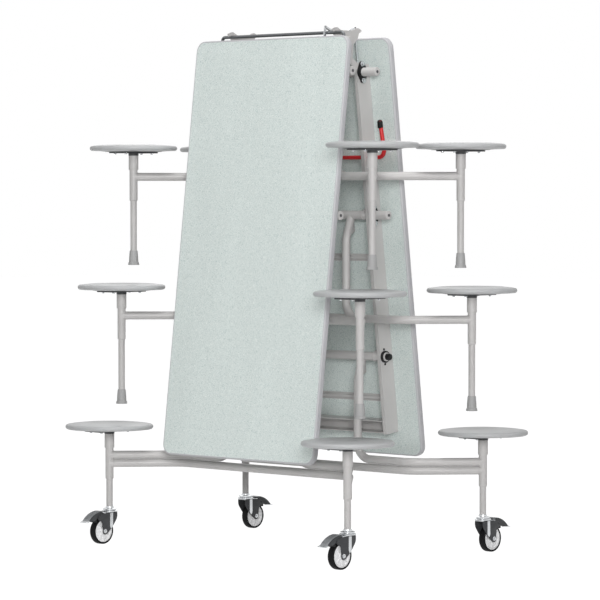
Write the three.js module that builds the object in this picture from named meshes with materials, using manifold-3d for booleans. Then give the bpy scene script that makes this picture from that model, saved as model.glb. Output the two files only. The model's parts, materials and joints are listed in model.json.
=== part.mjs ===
// Mobile folding cafeteria table with twelve round stools, folded upright for storage.
// Millimetres, +Z up. The origin is on the floor under the middle of the folded table.
// X runs along the table's length, so the near half lies at -X and the far half at +X.
// Y runs across the table, along the centre hinge: right is -Y and left is +Y.
// Both halves are one design, and the near one is turned half a turn about the vertical.

import * as THREE from 'three';
import { mergeVertices } from 'three/addons/utils/BufferGeometryUtils.js';
import Module from 'manifold-3d';

const wasm = await Module();
wasm.setup();

// Fits
const CLEARANCE = 0.3;

// Tabletop halves
const TOP_LENGTH = 1520;
const TOP_WIDTH = 762;
const TOP_THICKNESS = 24;
const TOP_CORNER_RADIUS = 40;
const TOP_EDGE_ROUND = 5;
const CENTRE_GAP = 8;

// Fold: the hinge axis lies under the table surface, and each folded half leans off the vertical
const LEAN_DEGREES = 6.9;
const HINGE_DEPTH = 117;
const PIVOT_DEPTH = 67;
const FIRST_PIVOT = 121;
const PIVOT_PITCH = 516;

// Stools, measured from each stool's own floor
const PIVOT_HEIGHT = 698.5;
const SEAT_HEIGHT = 444.5;
const SEAT_DIAMETER = 326;
const SEAT_THICKNESS = 26;
const SEAT_EDGE_ROUND = 9;
const SEAT_DISH = 4;
const SEAT_PLATE_SIZE = 170;
const SEAT_PLATE_THICKNESS = 5;
const STOOL_ACROSS = 600;
const STOOL_OUTWARD = 168;
const ARM_HEIGHT = 326;
const BASE_TUBE_DROP = 30.5;

// Stool tubes
const ARM_DIAMETER = 30;
const SLEEVE_DIAMETER = 36;
const SLEEVE_BOTTOM = 352;
const LEG_DIAMETER = 24;
const SWAGE_TOP = 250;
const SWAGE_BOTTOM = 236;
const FOOT_HEIGHT = 53;
const FOOT_TOP_DIAMETER = 33;
const FOOT_BOTTOM_DIAMETER = 40;
const FOOT_SOLE = 12;
const UPRIGHT_ACROSS = 170;
const UPRIGHT_INSET = 29;
const UPRIGHT_CRANK = 85;
const ARM_ELBOW_ACROSS = 425;
const UPRIGHT_BEND = 58;
const ELBOW_BEND = 85;
const CRANK_BEND = 60;
const BRACE_REACH = 205;
const GUSSET_SIZE = 60;
const GUSSET_THICKNESS = 5;

// Pivot shafts and their flange bearings
const SHAFT_DIAMETER = 32;
const SHAFT_REACH = 352;
const BASE_SHAFT_REACH = 305;
const BEARING_LENGTH = 78;
const BEARING_BOSS_DIAMETER = 46;
const BEARING_THICKNESS = 8;
const BEARING_EAR_DIAMETER = 20;
const BASE_RING_DIAMETER = 42;

// Side rails, end channels and stiffeners
const RAIL_OUTER = 275;
const RAIL_OFFSET = 6.5;
const RAIL_WALL = 3;
const RAIL_DEPTH = 66;
const RAIL_FLANGE = 25;
const RAIL_LIP = 12;
const RAIL_START = 95;
const RAIL_END_INSET = 89;
const HINGE_HUB_DIAMETER = 48;
const HINGE_NECK_WIDTH = 24;
const HINGE_NECK_PAST_BAR = 12;
const HINGE_NECK_UNDER_BAR = 9;
const END_CHANNEL_WIDTH = 45;
const END_CHANNEL_DEPTH = 50;
const END_CHANNEL_HOLE_DIAMETER = 12;
const STIFFENER_FROM_PIVOT = 140;
const STIFFENER_WIDTH = 40;
const STIFFENER_DEPTH = 36;
const STIFFENER_REACH = 212;

// Centre hinge
const HINGE_PLATE_THICKNESS = 5;
const HINGE_PLATE_GAP = 1.5;
const HORN_REACH = 77;
const HORN_RISE = 43;
const HORN_TIP_DIAMETER = 12;
const SADDLE_RISE = 34;
const HINGE_PIN_DIAMETER = 16;
const HINGE_PIN_HEAD_DIAMETER = 26;
const HINGE_PIN_HEAD = 5;
const TORSION_BAR_DIAMETER = 12;
const TORSION_BAR_INSET = 60;
const TORSION_BAR_RISE = 24;
const TORSION_BAR_REACH = 305;
const TORSION_BAR_HOOK = 42;
const TORSION_BAR_BEND = 14;

// Parallel links that keep the stools level
const CRANK_OUT = 24;
const CRANK_UP = 24;
const LUG_ACROSS = 231;
const LUG_THICKNESS = 5;
const LUG_DIAMETER = 18;
const LINK_WIDTH = 10;
const LINK_KNEE = 14;
const LINK_BOSS_DIAMETER = 16;
const LINK_THICKNESS = 4.4;
const LINK_STUD_DIAMETER = 8;
const LINK_STUD_END = 3;

// Release bar on the far half
const RELEASE_FROM_HINGE = 428;
const RELEASE_DEPTH = 67;
const RELEASE_DIAMETER = 15;
const RELEASE_ACROSS = 345;
const RELEASE_HANDLE = 132;
const RELEASE_BEND = 26;
const GRIP_LENGTH = 26;
const GRIP_WALL = 2;

// Braked swivel casters, measured from the floor
const WHEEL_DIAMETER = 96;
const WHEEL_WIDTH = 28;
const TYRE_ROUND = 7;
const CASTER_TRAIL = 40;
const CASTER_HEIGHT = 137;
const STEM_DIAMETER = 12;
const STEM_LENGTH = 34;
const COLLAR_DIAMETER = 34;
const COLLAR_HEIGHT = 15;
const SWIVEL_DIAMETER = 50;
const FORK_GAP = 34;
const FORK_WALL = 4;
const FORK_TOP = 104;
const FORK_BRIDGE = 5;
const FORK_BOSS_DIAMETER = 30;
const AXLE_DIAMETER = 10;
const HUB_DIAMETER = 34;
const HUB_RECESS = 4;
const PEDAL_PIVOT_OUT = 68;
const PEDAL_PIVOT_HEIGHT = 100;
const PEDAL_PIN_DIAMETER = 7;
const PEDAL_BARREL_DIAMETER = 14;
const PEDAL_TIP_OUT = 141;
const PEDAL_TIP_HEIGHT = 86;
const PEDAL_THICKNESS = 6;
const PEDAL_WIDTH = 28;
const PEDAL_PAD_WIDTH = 42;
const PEDAL_PAD_LENGTH = 30;
const SHOE_GAP = 2;

// Facet counts
const TUBE_SIDES = 8;
const BEND_STEPS = 3;
const SEAT_SIDES = 18;
const WHEEL_SIDES = 14;
const ROUND_SIDES = 12;
const SMALL_SIDES = 8;

// Values worked out from the driving dimensions
const lean = THREE.MathUtils.degToRad(LEAN_DEGREES);
const foldTurn = Math.PI / 2 - lean;
const undersideZ = HINGE_DEPTH - TOP_THICKNESS;
const pivotZ = HINGE_DEPTH - PIVOT_DEPTH;
const pivotXs = {
  upper: FIRST_PIVOT,
  middle: FIRST_PIVOT + PIVOT_PITCH,
  base: FIRST_PIVOT + 2 * PIVOT_PITCH,
};
const hingeHeight = PIVOT_HEIGHT + pivotXs.base * Math.cos(lean) - pivotZ * Math.sin(lean);
const lugInner = LUG_ACROSS - LUG_THICKNESS / 2;
const lugOuter = LUG_ACROSS + LUG_THICKNESS / 2;
const railBottomZ = undersideZ - RAIL_DEPTH;
const railEnd = CENTRE_GAP / 2 + TOP_LENGTH - RAIL_END_INSET;
const leftRailOuter = RAIL_OUTER - RAIL_OFFSET;
const plateOuter = leftRailOuter - RAIL_WALL - HINGE_PLATE_GAP;
const plateInner = plateOuter - HINGE_PLATE_THICKNESS;
const releaseZ = HINGE_DEPTH - RELEASE_DEPTH;

const COLOURS = {
  laminate: { color: 0xcdd6d3, roughness: 0.45, metalness: 0 },
  frame: { color: 0xc3c0bf, roughness: 0.45, metalness: 0.2 },
  seat: { color: 0xb4b6b8, roughness: 0.35, metalness: 0 },
  foot: { color: 0x9a9a9a, roughness: 0.7, metalness: 0 },
  steel: { color: 0x55575a, roughness: 0.4, metalness: 0.9 },
  zinc: { color: 0xc8cacc, roughness: 0.3, metalness: 0.9 },
  tyre: { color: 0x1b1b1c, roughness: 0.8, metalness: 0 },
  red: { color: 0xb3262c, roughness: 0.4, metalness: 0.1 },
  black: { color: 0x141414, roughness: 0.6, metalness: 0 },
};

// Solid geometry

function toSolid(geometry) {
  const source = geometry.clone();
  source.deleteAttribute('normal');
  source.deleteAttribute('uv');
  const merged = mergeVertices(source, 1e-4);
  const index = merged.index.array;
  const triangles = [];
  for (let i = 0; i < index.length; i += 3) {
    const [a, b, c] = [index[i], index[i + 1], index[i + 2]];
    if (a !== b && b !== c && c !== a) triangles.push(a, b, c);
  }
  return new wasm.Manifold(new wasm.Mesh({
    numProp: 3,
    vertProperties: new Float32Array(merged.attributes.position.array),
    triVerts: new Uint32Array(triangles),
  }));
}

function toGeometry(solid) {
  const mesh = solid.getMesh();
  const geometry = new THREE.BufferGeometry();
  geometry.setAttribute('position', new THREE.BufferAttribute(mesh.vertProperties, 3));
  geometry.setIndex(new THREE.BufferAttribute(mesh.triVerts, 1));
  geometry.computeVertexNormals();
  return geometry;
}

function fuse(...geometries) {
  return toGeometry(geometries.map(toSolid).reduce((body, next) => body.add(next)));
}

function cut(geometry, ...tools) {
  return toGeometry(tools.map(toSolid).reduce((body, tool) => body.subtract(tool), toSolid(geometry)));
}

function box(xMin, xMax, yMin, yMax, zMin, zMax) {
  const geometry = new THREE.BoxGeometry(xMax - xMin, yMax - yMin, zMax - zMin);
  return geometry.translate((xMin + xMax) / 2, (yMin + yMax) / 2, (zMin + zMax) / 2);
}

// A profile of [radius, height] points turned about the vertical
function turned(profile, sides) {
  const points = profile.map(([radius, height]) => new THREE.Vector2(radius, height));
  return new THREE.LatheGeometry(points, sides).rotateX(Math.PI / 2);
}

// A round bar along Y
function barAcross(diameter, yMin, yMax, x, z, sides = SMALL_SIDES) {
  const geometry = new THREE.CylinderGeometry(diameter / 2, diameter / 2, yMax - yMin, sides);
  return geometry.translate(x, (yMin + yMax) / 2, z);
}

// The radius of a bore whose flats clear a round piece of the given diameter at every angle
function boreRadius(diameter, sides = SMALL_SIDES) {
  return (diameter / 2 + CLEARANCE) / Math.cos(Math.PI / sides);
}

// A cutter along Y for a bore that a bar turns in
function boreAcross(barDiameter, yMin, yMax, x, z, sides = SMALL_SIDES) {
  return barAcross(2 * boreRadius(barDiameter, sides), yMin, yMax, x, z, sides);
}

// A flat plate standing in the XZ plane, from an outline in x and z
function plateAcross(shape, yMin, yMax) {
  const geometry = new THREE.ExtrudeGeometry(shape, { depth: yMax - yMin, bevelEnabled: false, curveSegments: 6 });
  return geometry.rotateX(Math.PI / 2).translate(0, yMax, 0);
}

// The outline drawn tight round a set of circles, each [x, z, radius]
function outlineRound(circles, sides = SMALL_SIDES) {
  const points = [];
  for (const [x, z, radius] of circles) {
    for (let i = 0; i < sides; i += 1) {
      const angle = (2 * Math.PI * i) / sides;
      points.push(new THREE.Vector2(x + radius * Math.cos(angle), z + radius * Math.sin(angle)));
    }
  }
  points.sort((a, b) => a.x - b.x || a.y - b.y);
  const turn = (o, a, b) => (a.x - o.x) * (b.y - o.y) - (a.y - o.y) * (b.x - o.x);
  const chain = (list) => {
    const kept = [];
    for (const point of list) {
      while (kept.length > 1 && turn(kept[kept.length - 2], kept[kept.length - 1], point) <= 1e-6) kept.pop();
      kept.push(point);
    }
    return kept.slice(0, -1);
  };
  return new THREE.Shape([...chain(points), ...chain([...points].reverse())]);
}

// A route of straight runs joined by round bends, each corner [x, y, z, bend radius]
class BentRoute extends THREE.Curve {
  constructor(corners) {
    super();
    const points = corners.map(([x, y, z]) => new THREE.Vector3(x, y, z));
    this.stations = [];
    points.forEach((point, i) => {
      const before = points[i - 1];
      const after = points[i + 1];
      if (!before || !after) {
        const along = before ? point.clone().sub(before) : after.clone().sub(point);
        this.stations.push({ point, tangent: along.normalize() });
        return;
      }
      const arriving = point.clone().sub(before).normalize();
      const leaving = after.clone().sub(point).normalize();
      const angle = arriving.angleTo(leaving);
      const radius = corners[i][3];
      const start = point.clone().addScaledVector(arriving, -radius * Math.tan(angle / 2));
      const inward = leaving.clone().addScaledVector(arriving, -Math.cos(angle)).normalize();
      const steps = Math.max(1, Math.round((BEND_STEPS * angle) / (Math.PI / 2)));
      for (let step = 0; step <= steps; step += 1) {
        const turned = (angle * step) / steps;
        const onArc = start.clone().addScaledVector(arriving, radius * Math.sin(turned));
        onArc.addScaledVector(inward, radius * (1 - Math.cos(turned)));
        const tangent = arriving.clone().multiplyScalar(Math.cos(turned)).addScaledVector(inward, Math.sin(turned));
        this.stations.push({ point: onArc, tangent });
      }
    });
  }

  stationAt(u) {
    return this.stations[Math.round(u * (this.stations.length - 1))];
  }

  getPoint(t) {
    return this.stationAt(t).point.clone();
  }

  getPointAt(u) {
    return this.stationAt(u).point.clone();
  }

  getTangentAt(u) {
    return this.stationAt(u).tangent.clone();
  }
}

function bentTube(corners, diameter, sides = TUBE_SIDES) {
  const route = new BentRoute(corners);
  const section = outlineRound([[0, 0, diameter / 2]], sides);
  return new THREE.ExtrudeGeometry(section, { steps: route.stations.length - 1, extrudePath: route });
}

function node(name, geometry, look) {
  const mesh = new THREE.Mesh(geometry, new THREE.MeshStandardMaterial(COLOURS[look]));
  mesh.name = name;
  return mesh;
}

// Tabletop: modelled flat, with x out from the hinge axis and z up from it

function tabletop() {
  const half = TOP_WIDTH / 2;
  const xIn = CENTRE_GAP / 2;
  const xOut = xIn + TOP_LENGTH;
  const inset = TOP_EDGE_ROUND;
  const radius = TOP_CORNER_RADIUS - inset;
  const shape = new THREE.Shape();
  const corner = (x, y, from) => shape.absarc(x, y, radius, from, from + Math.PI / 2, false);
  corner(xOut - TOP_CORNER_RADIUS, half - TOP_CORNER_RADIUS, 0);
  corner(xIn + TOP_CORNER_RADIUS, half - TOP_CORNER_RADIUS, Math.PI / 2);
  corner(xIn + TOP_CORNER_RADIUS, TOP_CORNER_RADIUS - half, Math.PI);
  corner(xOut - TOP_CORNER_RADIUS, TOP_CORNER_RADIUS - half, 1.5 * Math.PI);
  const geometry = new THREE.ExtrudeGeometry(shape, {
    depth: TOP_THICKNESS - 2 * inset,
    bevelEnabled: true,
    bevelThickness: inset,
    bevelSize: inset,
    bevelSegments: 1,
    curveSegments: 3,
  });
  return fuse(geometry.translate(0, 0, undersideZ + inset));
}

// A two-bolt flange bearing on the outside of a rail's web, or a plain ring on the base shaft
function bearing(level, yMin, yMax) {
  const x = pivotXs[level];
  if (level === 'base') {
    return plateAcross(outlineRound([[x, pivotZ, BASE_RING_DIAMETER / 2]], ROUND_SIDES), yMin, yMax);
  }
  const ear = BEARING_EAR_DIAMETER / 2;
  const ends = BEARING_LENGTH / 2 - ear;
  const outline = outlineRound([
    [x - ends, pivotZ, ear],
    [x, pivotZ, BEARING_BOSS_DIAMETER / 2],
    [x + ends, pivotZ, ear],
  ]);
  return plateAcross(outline, yMin, yMax);
}

// A pressed side rail whose web runs on past the tabletop's end to carry the hinge pin.
// The outward side is -1 for the rail at -y and 1 for the rail at +y.
function rail(outer, outward) {
  const span = (near, far) => (outward < 0 ? [-far, -near] : [near, far]);
  const inner = outer - RAIL_WALL;
  const flangeInner = inner - RAIL_FLANGE;
  const hub = HINGE_HUB_DIAMETER / 2;
  const top = undersideZ - CLEARANCE;
  const web = box(RAIL_START, railEnd, ...span(inner, outer), railBottomZ, top);
  const neck = HINGE_NECK_WIDTH / 2;
  const neckZ = TORSION_BAR_RISE - TORSION_BAR_DIAMETER / 2 - HINGE_NECK_UNDER_BAR - neck;
  const neckPlace = [TORSION_BAR_INSET + HINGE_NECK_PAST_BAR, neckZ, neck];
  const arm = [
    outlineRound([[0, 0, hub], neckPlace], ROUND_SIDES),
    outlineRound([neckPlace, [RAIL_START + neck, railBottomZ + neck, neck]], ROUND_SIDES),
  ].map((outline) => plateAcross(outline, ...span(inner, outer)));
  const flange = box(RAIL_START, railEnd, ...span(flangeInner, outer), top - RAIL_WALL, top);
  const lip = box(RAIL_START, railEnd, ...span(inner - RAIL_LIP, outer), railBottomZ, railBottomZ + RAIL_WALL);
  const bearings = Object.keys(pivotXs).map((level) => bearing(level, ...span(inner, outer + BEARING_THICKNESS)));
  const through = [outer + 2 * BEARING_THICKNESS, 0];
  const holeSpan = outward < 0 ? [-through[0], through[1]] : [through[1], through[0]];
  const shaftHoles = Object.values(pivotXs).map(
    (x) => boreAcross(SHAFT_DIAMETER, ...holeSpan, x, pivotZ, ROUND_SIDES),
  );
  const pinHole = boreAcross(HINGE_PIN_DIAMETER, ...holeSpan, 0, 0, ROUND_SIDES);
  const releaseHole = boreAcross(RELEASE_DIAMETER, ...holeSpan, RELEASE_FROM_HINGE, releaseZ);
  return cut(fuse(web, ...arm, flange, lip, ...bearings), ...shaftHoles, pinHole, releaseHole);
}

// A folded channel across the underside, open downwards
function crossChannel(xMin, width, depth, yMin, yMax) {
  const top = undersideZ - CLEARANCE;
  const body = box(xMin, xMin + width, yMin, yMax, top - depth, top);
  const hollow = box(
    xMin + RAIL_WALL, xMin + width - RAIL_WALL,
    yMin - RAIL_WALL, yMax + RAIL_WALL,
    top - 2 * depth, top - RAIL_WALL,
  );
  return cut(body, hollow);
}

function endChannel() {
  const reach = (outer) => outer - RAIL_WALL - RAIL_FLANGE - CLEARANCE;
  const xMin = railEnd - END_CHANNEL_WIDTH;
  const channel = crossChannel(xMin, END_CHANNEL_WIDTH, END_CHANNEL_DEPTH, -reach(RAIL_OUTER), reach(leftRailOuter));
  const hole = new THREE.CylinderGeometry(
    END_CHANNEL_HOLE_DIAMETER / 2, END_CHANNEL_HOLE_DIAMETER / 2, 4 * RAIL_WALL, SMALL_SIDES,
  ).rotateZ(Math.PI / 2);
  const holeY = reach(RAIL_OUTER) - END_CHANNEL_WIDTH;
  const holeZ = undersideZ - END_CHANNEL_DEPTH / 2;
  const holes = [-holeY, holeY].map((y) => hole.clone().translate(xMin, y, holeZ));
  return cut(channel, ...holes);
}

function stiffener(pivotX) {
  const xMin = pivotX + STIFFENER_FROM_PIVOT;
  return crossChannel(xMin, STIFFENER_WIDTH, STIFFENER_DEPTH, -STIFFENER_REACH, STIFFENER_REACH);
}

// Stool frames: x is out from the pivot shaft, z is up from it

const floorZ = -PIVOT_HEIGHT;
const armZ = floorZ + ARM_HEIGHT;
const seatUnderZ = floorZ + SEAT_HEIGHT - SEAT_THICKNESS;

// One side's upright, cranked in from the shaft, bent out along the floor line and round to the stool
function uprightAndArm(side) {
  const route = [
    [0, side * UPRIGHT_ACROSS, 0, 0],
    [-UPRIGHT_INSET, side * UPRIGHT_ACROSS, -UPRIGHT_CRANK, CRANK_BEND],
    [-UPRIGHT_INSET, side * UPRIGHT_ACROSS, armZ, UPRIGHT_BEND],
    [-UPRIGHT_INSET, side * ARM_ELBOW_ACROSS, armZ, ELBOW_BEND],
    [STOOL_OUTWARD, side * STOOL_ACROSS, armZ, 0],
  ];
  return bentTube(route, ARM_DIAMETER);
}

// The tube that joins the two sides: from stool to stool under the arms of a base frame
function baseTube() {
  const z = armZ - BASE_TUBE_DROP;
  const route = [
    [STOOL_OUTWARD, -STOOL_ACROSS, z, 0],
    [-UPRIGHT_INSET, -ARM_ELBOW_ACROSS, z, ELBOW_BEND],
    [-UPRIGHT_INSET, ARM_ELBOW_ACROSS, z, ELBOW_BEND],
    [STOOL_OUTWARD, STOOL_ACROSS, z, 0],
  ];
  return bentTube(route, ARM_DIAMETER);
}

function column(side, bottomZ) {
  const leg = LEG_DIAMETER / 2;
  const arm = ARM_DIAMETER / 2;
  const sleeve = SLEEVE_DIAMETER / 2;
  const plateTop = seatUnderZ - CLEARANCE;
  const plateBottom = plateTop - SEAT_PLATE_THICKNESS;
  const post = turned([
    [0, bottomZ],
    [leg, bottomZ],
    [leg, floorZ + SWAGE_BOTTOM],
    [arm, floorZ + SWAGE_TOP],
    [arm, floorZ + SLEEVE_BOTTOM],
    [sleeve, floorZ + SLEEVE_BOTTOM],
    [sleeve, plateTop - SEAT_PLATE_THICKNESS / 2],
    [0, plateTop - SEAT_PLATE_THICKNESS / 2],
  ], SMALL_SIDES);
  const half = SEAT_PLATE_SIZE / 2;
  const plate = box(-half, half, -half / 2, half / 2, plateBottom, plateTop);
  return [post, plate].map((piece) => piece.translate(STOOL_OUTWARD, side * STOOL_ACROSS, 0));
}

// The lug and stud that a parallel link turns on
function crankLug(lugSide) {
  const across = lugSide * LUG_ACROSS;
  const half = LUG_THICKNESS / 2;
  const plate = plateAcross(
    outlineRound([[0, 0, SHAFT_DIAMETER / 2], [CRANK_OUT, CRANK_UP, LUG_DIAMETER / 2]]),
    across - half, across + half,
  );
  const studEnd = across - half - CLEARANCE - LINK_THICKNESS - LINK_STUD_END;
  const stud = barAcross(LINK_STUD_DIAMETER, studEnd, across, CRANK_OUT, CRANK_UP);
  return [plate, stud];
}

function gusset(side) {
  const outline = new THREE.Shape();
  outline.moveTo(SHAFT_DIAMETER / 4, 0);
  outline.lineTo(-UPRIGHT_INSET, -UPRIGHT_CRANK);
  outline.lineTo(SHAFT_DIAMETER / 4 + ARM_DIAMETER / 4, -GUSSET_SIZE);
  const across = side * UPRIGHT_ACROSS;
  return plateAcross(outline, across - GUSSET_THICKNESS / 2, across + GUSSET_THICKNESS / 2);
}

function stoolFrame(level, lugSide) {
  const isBase = level === 'base';
  const reach = isBase ? BASE_SHAFT_REACH : SHAFT_REACH;
  const bottomZ = floorZ + (isBase ? CASTER_HEIGHT : FOOT_SOLE);
  const pieces = [barAcross(SHAFT_DIAMETER, -reach, reach, 0, 0), ...crankLug(lugSide)];
  for (const side of [-1, 1]) {
    pieces.push(uprightAndArm(side), gusset(side), ...column(side, bottomZ));
  }
  const across = isBase
    ? baseTube()
    : barAcross(ARM_DIAMETER, -BRACE_REACH, BRACE_REACH, -UPRIGHT_INSET, armZ, TUBE_SIDES);
  const frame = fuse(...pieces, across);
  if (!isBase) return frame;
  const stemBore = boreRadius(STEM_DIAMETER);
  const bores = [-1, 1].map((side) => turned([
    [0, bottomZ - STEM_LENGTH],
    [stemBore, bottomZ - STEM_LENGTH],
    [stemBore, bottomZ + STEM_LENGTH + CLEARANCE],
    [0, bottomZ + STEM_LENGTH + CLEARANCE],
  ], SMALL_SIDES).translate(STOOL_OUTWARD, side * STOOL_ACROSS, 0));
  return cut(frame, ...bores);
}

// A round moulded seat with a rolled edge and a shallow dish
function seat() {
  const rim = SEAT_DIAMETER / 2;
  const round = SEAT_EDGE_ROUND;
  const top = seatUnderZ + SEAT_THICKNESS;
  const profile = [[0, seatUnderZ], [rim - round, seatUnderZ]];
  for (const degrees of [-30, 30]) {
    const angle = THREE.MathUtils.degToRad(degrees);
    const centreZ = degrees < 0 ? seatUnderZ + round : top - round;
    profile.push([rim - round + round * Math.cos(angle), centreZ + round * Math.sin(angle)]);
  }
  profile.push([rim - 2 * round, top], [0, top - SEAT_DISH]);
  return fuse(turned(profile, SEAT_SIDES));
}

// A flared ferrule pushed over the end of a leg
function foot() {
  const bore = LEG_DIAMETER / 2 + CLEARANCE;
  const sole = floorZ + FOOT_SOLE - CLEARANCE;
  const flare = FOOT_BOTTOM_DIAMETER / 2;
  return fuse(turned([
    [0, floorZ],
    [flare - 2 * CLEARANCE, floorZ],
    [flare, floorZ + FOOT_SOLE / 2],
    [FOOT_TOP_DIAMETER / 2, floorZ + FOOT_HEIGHT],
    [bore, floorZ + FOOT_HEIGHT],
    [bore, sole],
    [0, sole],
  ], SMALL_SIDES));
}

// Casters: x is the way the wheel trails, z is up from the floor

const axleZ = WHEEL_DIAMETER / 2;
const forkInner = FORK_GAP / 2;
const forkOuter = forkInner + FORK_WALL;

function casterFork() {
  const collarTop = CASTER_HEIGHT - CLEARANCE;
  const collarBottom = collarTop - COLLAR_HEIGHT;
  const bridgeBottom = FORK_TOP - FORK_BRIDGE;
  const swivel = turned([
    [0, bridgeBottom],
    [SWIVEL_DIAMETER / 2, bridgeBottom],
    [SWIVEL_DIAMETER / 2, collarBottom - FORK_WALL],
    [COLLAR_DIAMETER / 2, collarBottom],
    [COLLAR_DIAMETER / 2, collarTop],
    [STEM_DIAMETER / 2, collarTop],
    [STEM_DIAMETER / 2, collarTop + STEM_LENGTH],
    [0, collarTop + STEM_LENGTH],
  ], SMALL_SIDES);
  const bridgeEnd = PEDAL_PIVOT_OUT - PEDAL_BARREL_DIAMETER / 2 - SHOE_GAP;
  const bridge = box(-SWIVEL_DIAMETER / 2, bridgeEnd, -forkOuter, forkOuter, bridgeBottom, FORK_TOP);
  const ear = PEDAL_BARREL_DIAMETER / 2;
  const boss = FORK_BOSS_DIAMETER / 2;
  const cheek = outlineRound([
    [CASTER_TRAIL, axleZ, boss],
    [boss - SWIVEL_DIAMETER / 2, FORK_TOP - boss, boss],
    [PEDAL_PIVOT_OUT, PEDAL_PIVOT_HEIGHT, ear],
  ]);
  const cheeks = [plateAcross(cheek, -forkOuter, -forkInner), plateAcross(cheek, forkInner, forkOuter)];
  const axle = barAcross(AXLE_DIAMETER, -forkOuter, forkOuter, CASTER_TRAIL, axleZ);
  const pin = barAcross(PEDAL_PIN_DIAMETER, -forkOuter, forkOuter, PEDAL_PIVOT_OUT, PEDAL_PIVOT_HEIGHT);
  return fuse(swivel, bridge, ...cheeks, axle, pin);
}

// A rubber-tyred wheel, turned about its axle and recessed round the hub
function casterWheel() {
  const half = WHEEL_WIDTH / 2;
  const radius = WHEEL_DIAMETER / 2;
  const bore = AXLE_DIAMETER / 2 + CLEARANCE;
  const hub = HUB_DIAMETER / 2;
  const rim = radius - TYRE_ROUND;
  const wheel = turned([
    [bore, -half],
    [hub, -half],
    [hub, HUB_RECESS - half],
    [rim - TYRE_ROUND, HUB_RECESS - half],
    [rim, -half],
    [radius, TYRE_ROUND - half],
    [radius, half - TYRE_ROUND],
    [rim, half],
    [rim - TYRE_ROUND, half - HUB_RECESS],
    [hub, half - HUB_RECESS],
    [hub, half],
    [bore, half],
    [bore, -half],
  ], WHEEL_SIDES);
  return fuse(wheel.rotateX(Math.PI / 2).translate(CASTER_TRAIL, 0, axleZ));
}

function casterPedal() {
  const thick = PEDAL_THICKNESS / 2;
  const half = PEDAL_WIDTH / 2;
  const padHalf = PEDAL_PAD_WIDTH / 2;
  const pivot = [PEDAL_PIVOT_OUT, PEDAL_PIVOT_HEIGHT];
  const tip = [PEDAL_TIP_OUT - thick, PEDAL_TIP_HEIGHT];
  const padShare = PEDAL_PAD_LENGTH / (tip[0] - pivot[0]);
  const padStart = [tip[0] - PEDAL_PAD_LENGTH, tip[1] + padShare * (pivot[1] - tip[1])];
  const barrel = barAcross(PEDAL_BARREL_DIAMETER, -half, half, ...pivot);
  const lever = plateAcross(outlineRound([[...pivot, thick], [...tip, thick]]), -half, half);
  const pad = plateAcross(outlineRound([[...padStart, thick], [...tip, thick]]), -padHalf, padHalf);
  const shoeReach = WHEEL_DIAMETER / 2 + SHOE_GAP;
  const shoeX = PEDAL_PIVOT_OUT + thick;
  const shoeZ = axleZ + Math.sqrt(shoeReach ** 2 - (shoeX - CASTER_TRAIL) ** 2);
  const shoe = plateAcross(outlineRound([
    [shoeX + 2 * thick, shoeZ + thick, thick],
    [shoeX + 2 * thick, PEDAL_PIVOT_HEIGHT - thick, thick],
  ]), -half, half);
  const bore = boreAcross(PEDAL_PIN_DIAMETER, -forkOuter, forkOuter, ...pivot);
  return cut(fuse(barrel, lever, pad, shoe), bore);
}

// Centre hinge: x and z are measured from the hinge axis

const torsionPlace = [-TORSION_BAR_INSET, TORSION_BAR_RISE];

// A plate with two horns that carries the hinge pin and the torsion bar
function hingePlate(yMin, yMax) {
  const tip = HORN_TIP_DIAMETER / 2;
  const hub = HINGE_HUB_DIAMETER / 2;
  const hornX = HORN_REACH - tip;
  const hornZ = HORN_RISE - tip;
  const wing = (side) => plateAcross(outlineRound([
    [0, 0, hub],
    [side * hornX, hornZ, tip],
    [side * TORSION_BAR_INSET, TORSION_BAR_RISE, TORSION_BAR_DIAMETER],
    [0, SADDLE_RISE - tip, tip],
  ]), yMin, yMax);
  const holes = [
    boreAcross(HINGE_PIN_DIAMETER, yMin - 1, yMax + 1, 0, 0, ROUND_SIDES),
    boreAcross(TORSION_BAR_DIAMETER, yMin - 1, yMax + 1, ...torsionPlace),
  ];
  return cut(fuse(wing(-1), wing(1)), ...holes);
}

function hingePin(outward, innerEnd) {
  const headStart = RAIL_OUTER + CLEARANCE;
  const headEnd = headStart + HINGE_PIN_HEAD;
  const span = (near, far) => (outward < 0 ? [-far, -near] : [near, far]);
  const shank = barAcross(HINGE_PIN_DIAMETER, ...span(innerEnd, headEnd), 0, 0, ROUND_SIDES);
  const head = barAcross(HINGE_PIN_HEAD_DIAMETER, ...span(headStart, headEnd), 0, 0);
  return fuse(shank, head);
}

// The bar that balances the lift: straight along the hinge, with both ends hooked down
function torsionBar() {
  const [x, z] = torsionPlace;
  return fuse(bentTube([
    [x, -TORSION_BAR_REACH, z - TORSION_BAR_HOOK, 0],
    [x, -TORSION_BAR_REACH, z, TORSION_BAR_BEND],
    [x, TORSION_BAR_REACH, z, TORSION_BAR_BEND],
    [x, TORSION_BAR_REACH, z - TORSION_BAR_HOOK, 0],
  ], TORSION_BAR_DIAMETER));
}

// A plate on the right hinge pin that holds both halves' links, so that both sides fold alike
function equaliser() {
  const plate = plateAcross(outlineRound([
    [0, 0, HINGE_PIN_DIAMETER],
    [CRANK_OUT, CRANK_UP, LUG_DIAMETER / 2],
    [-CRANK_OUT, CRANK_UP, LUG_DIAMETER / 2],
  ]), -lugOuter, -lugInner);
  const studReach = CLEARANCE + LINK_THICKNESS + LINK_STUD_END;
  const farStud = barAcross(LINK_STUD_DIAMETER, -lugOuter - studReach, -lugInner, CRANK_OUT, CRANK_UP);
  const nearStud = barAcross(LINK_STUD_DIAMETER, -lugOuter, -lugInner + studReach, -CRANK_OUT, CRANK_UP);
  const bore = boreAcross(HINGE_PIN_DIAMETER, -lugOuter - 1, -lugInner + 1, 0, 0, ROUND_SIDES);
  return cut(fuse(plate, farStud, nearStud), bore);
}

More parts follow.
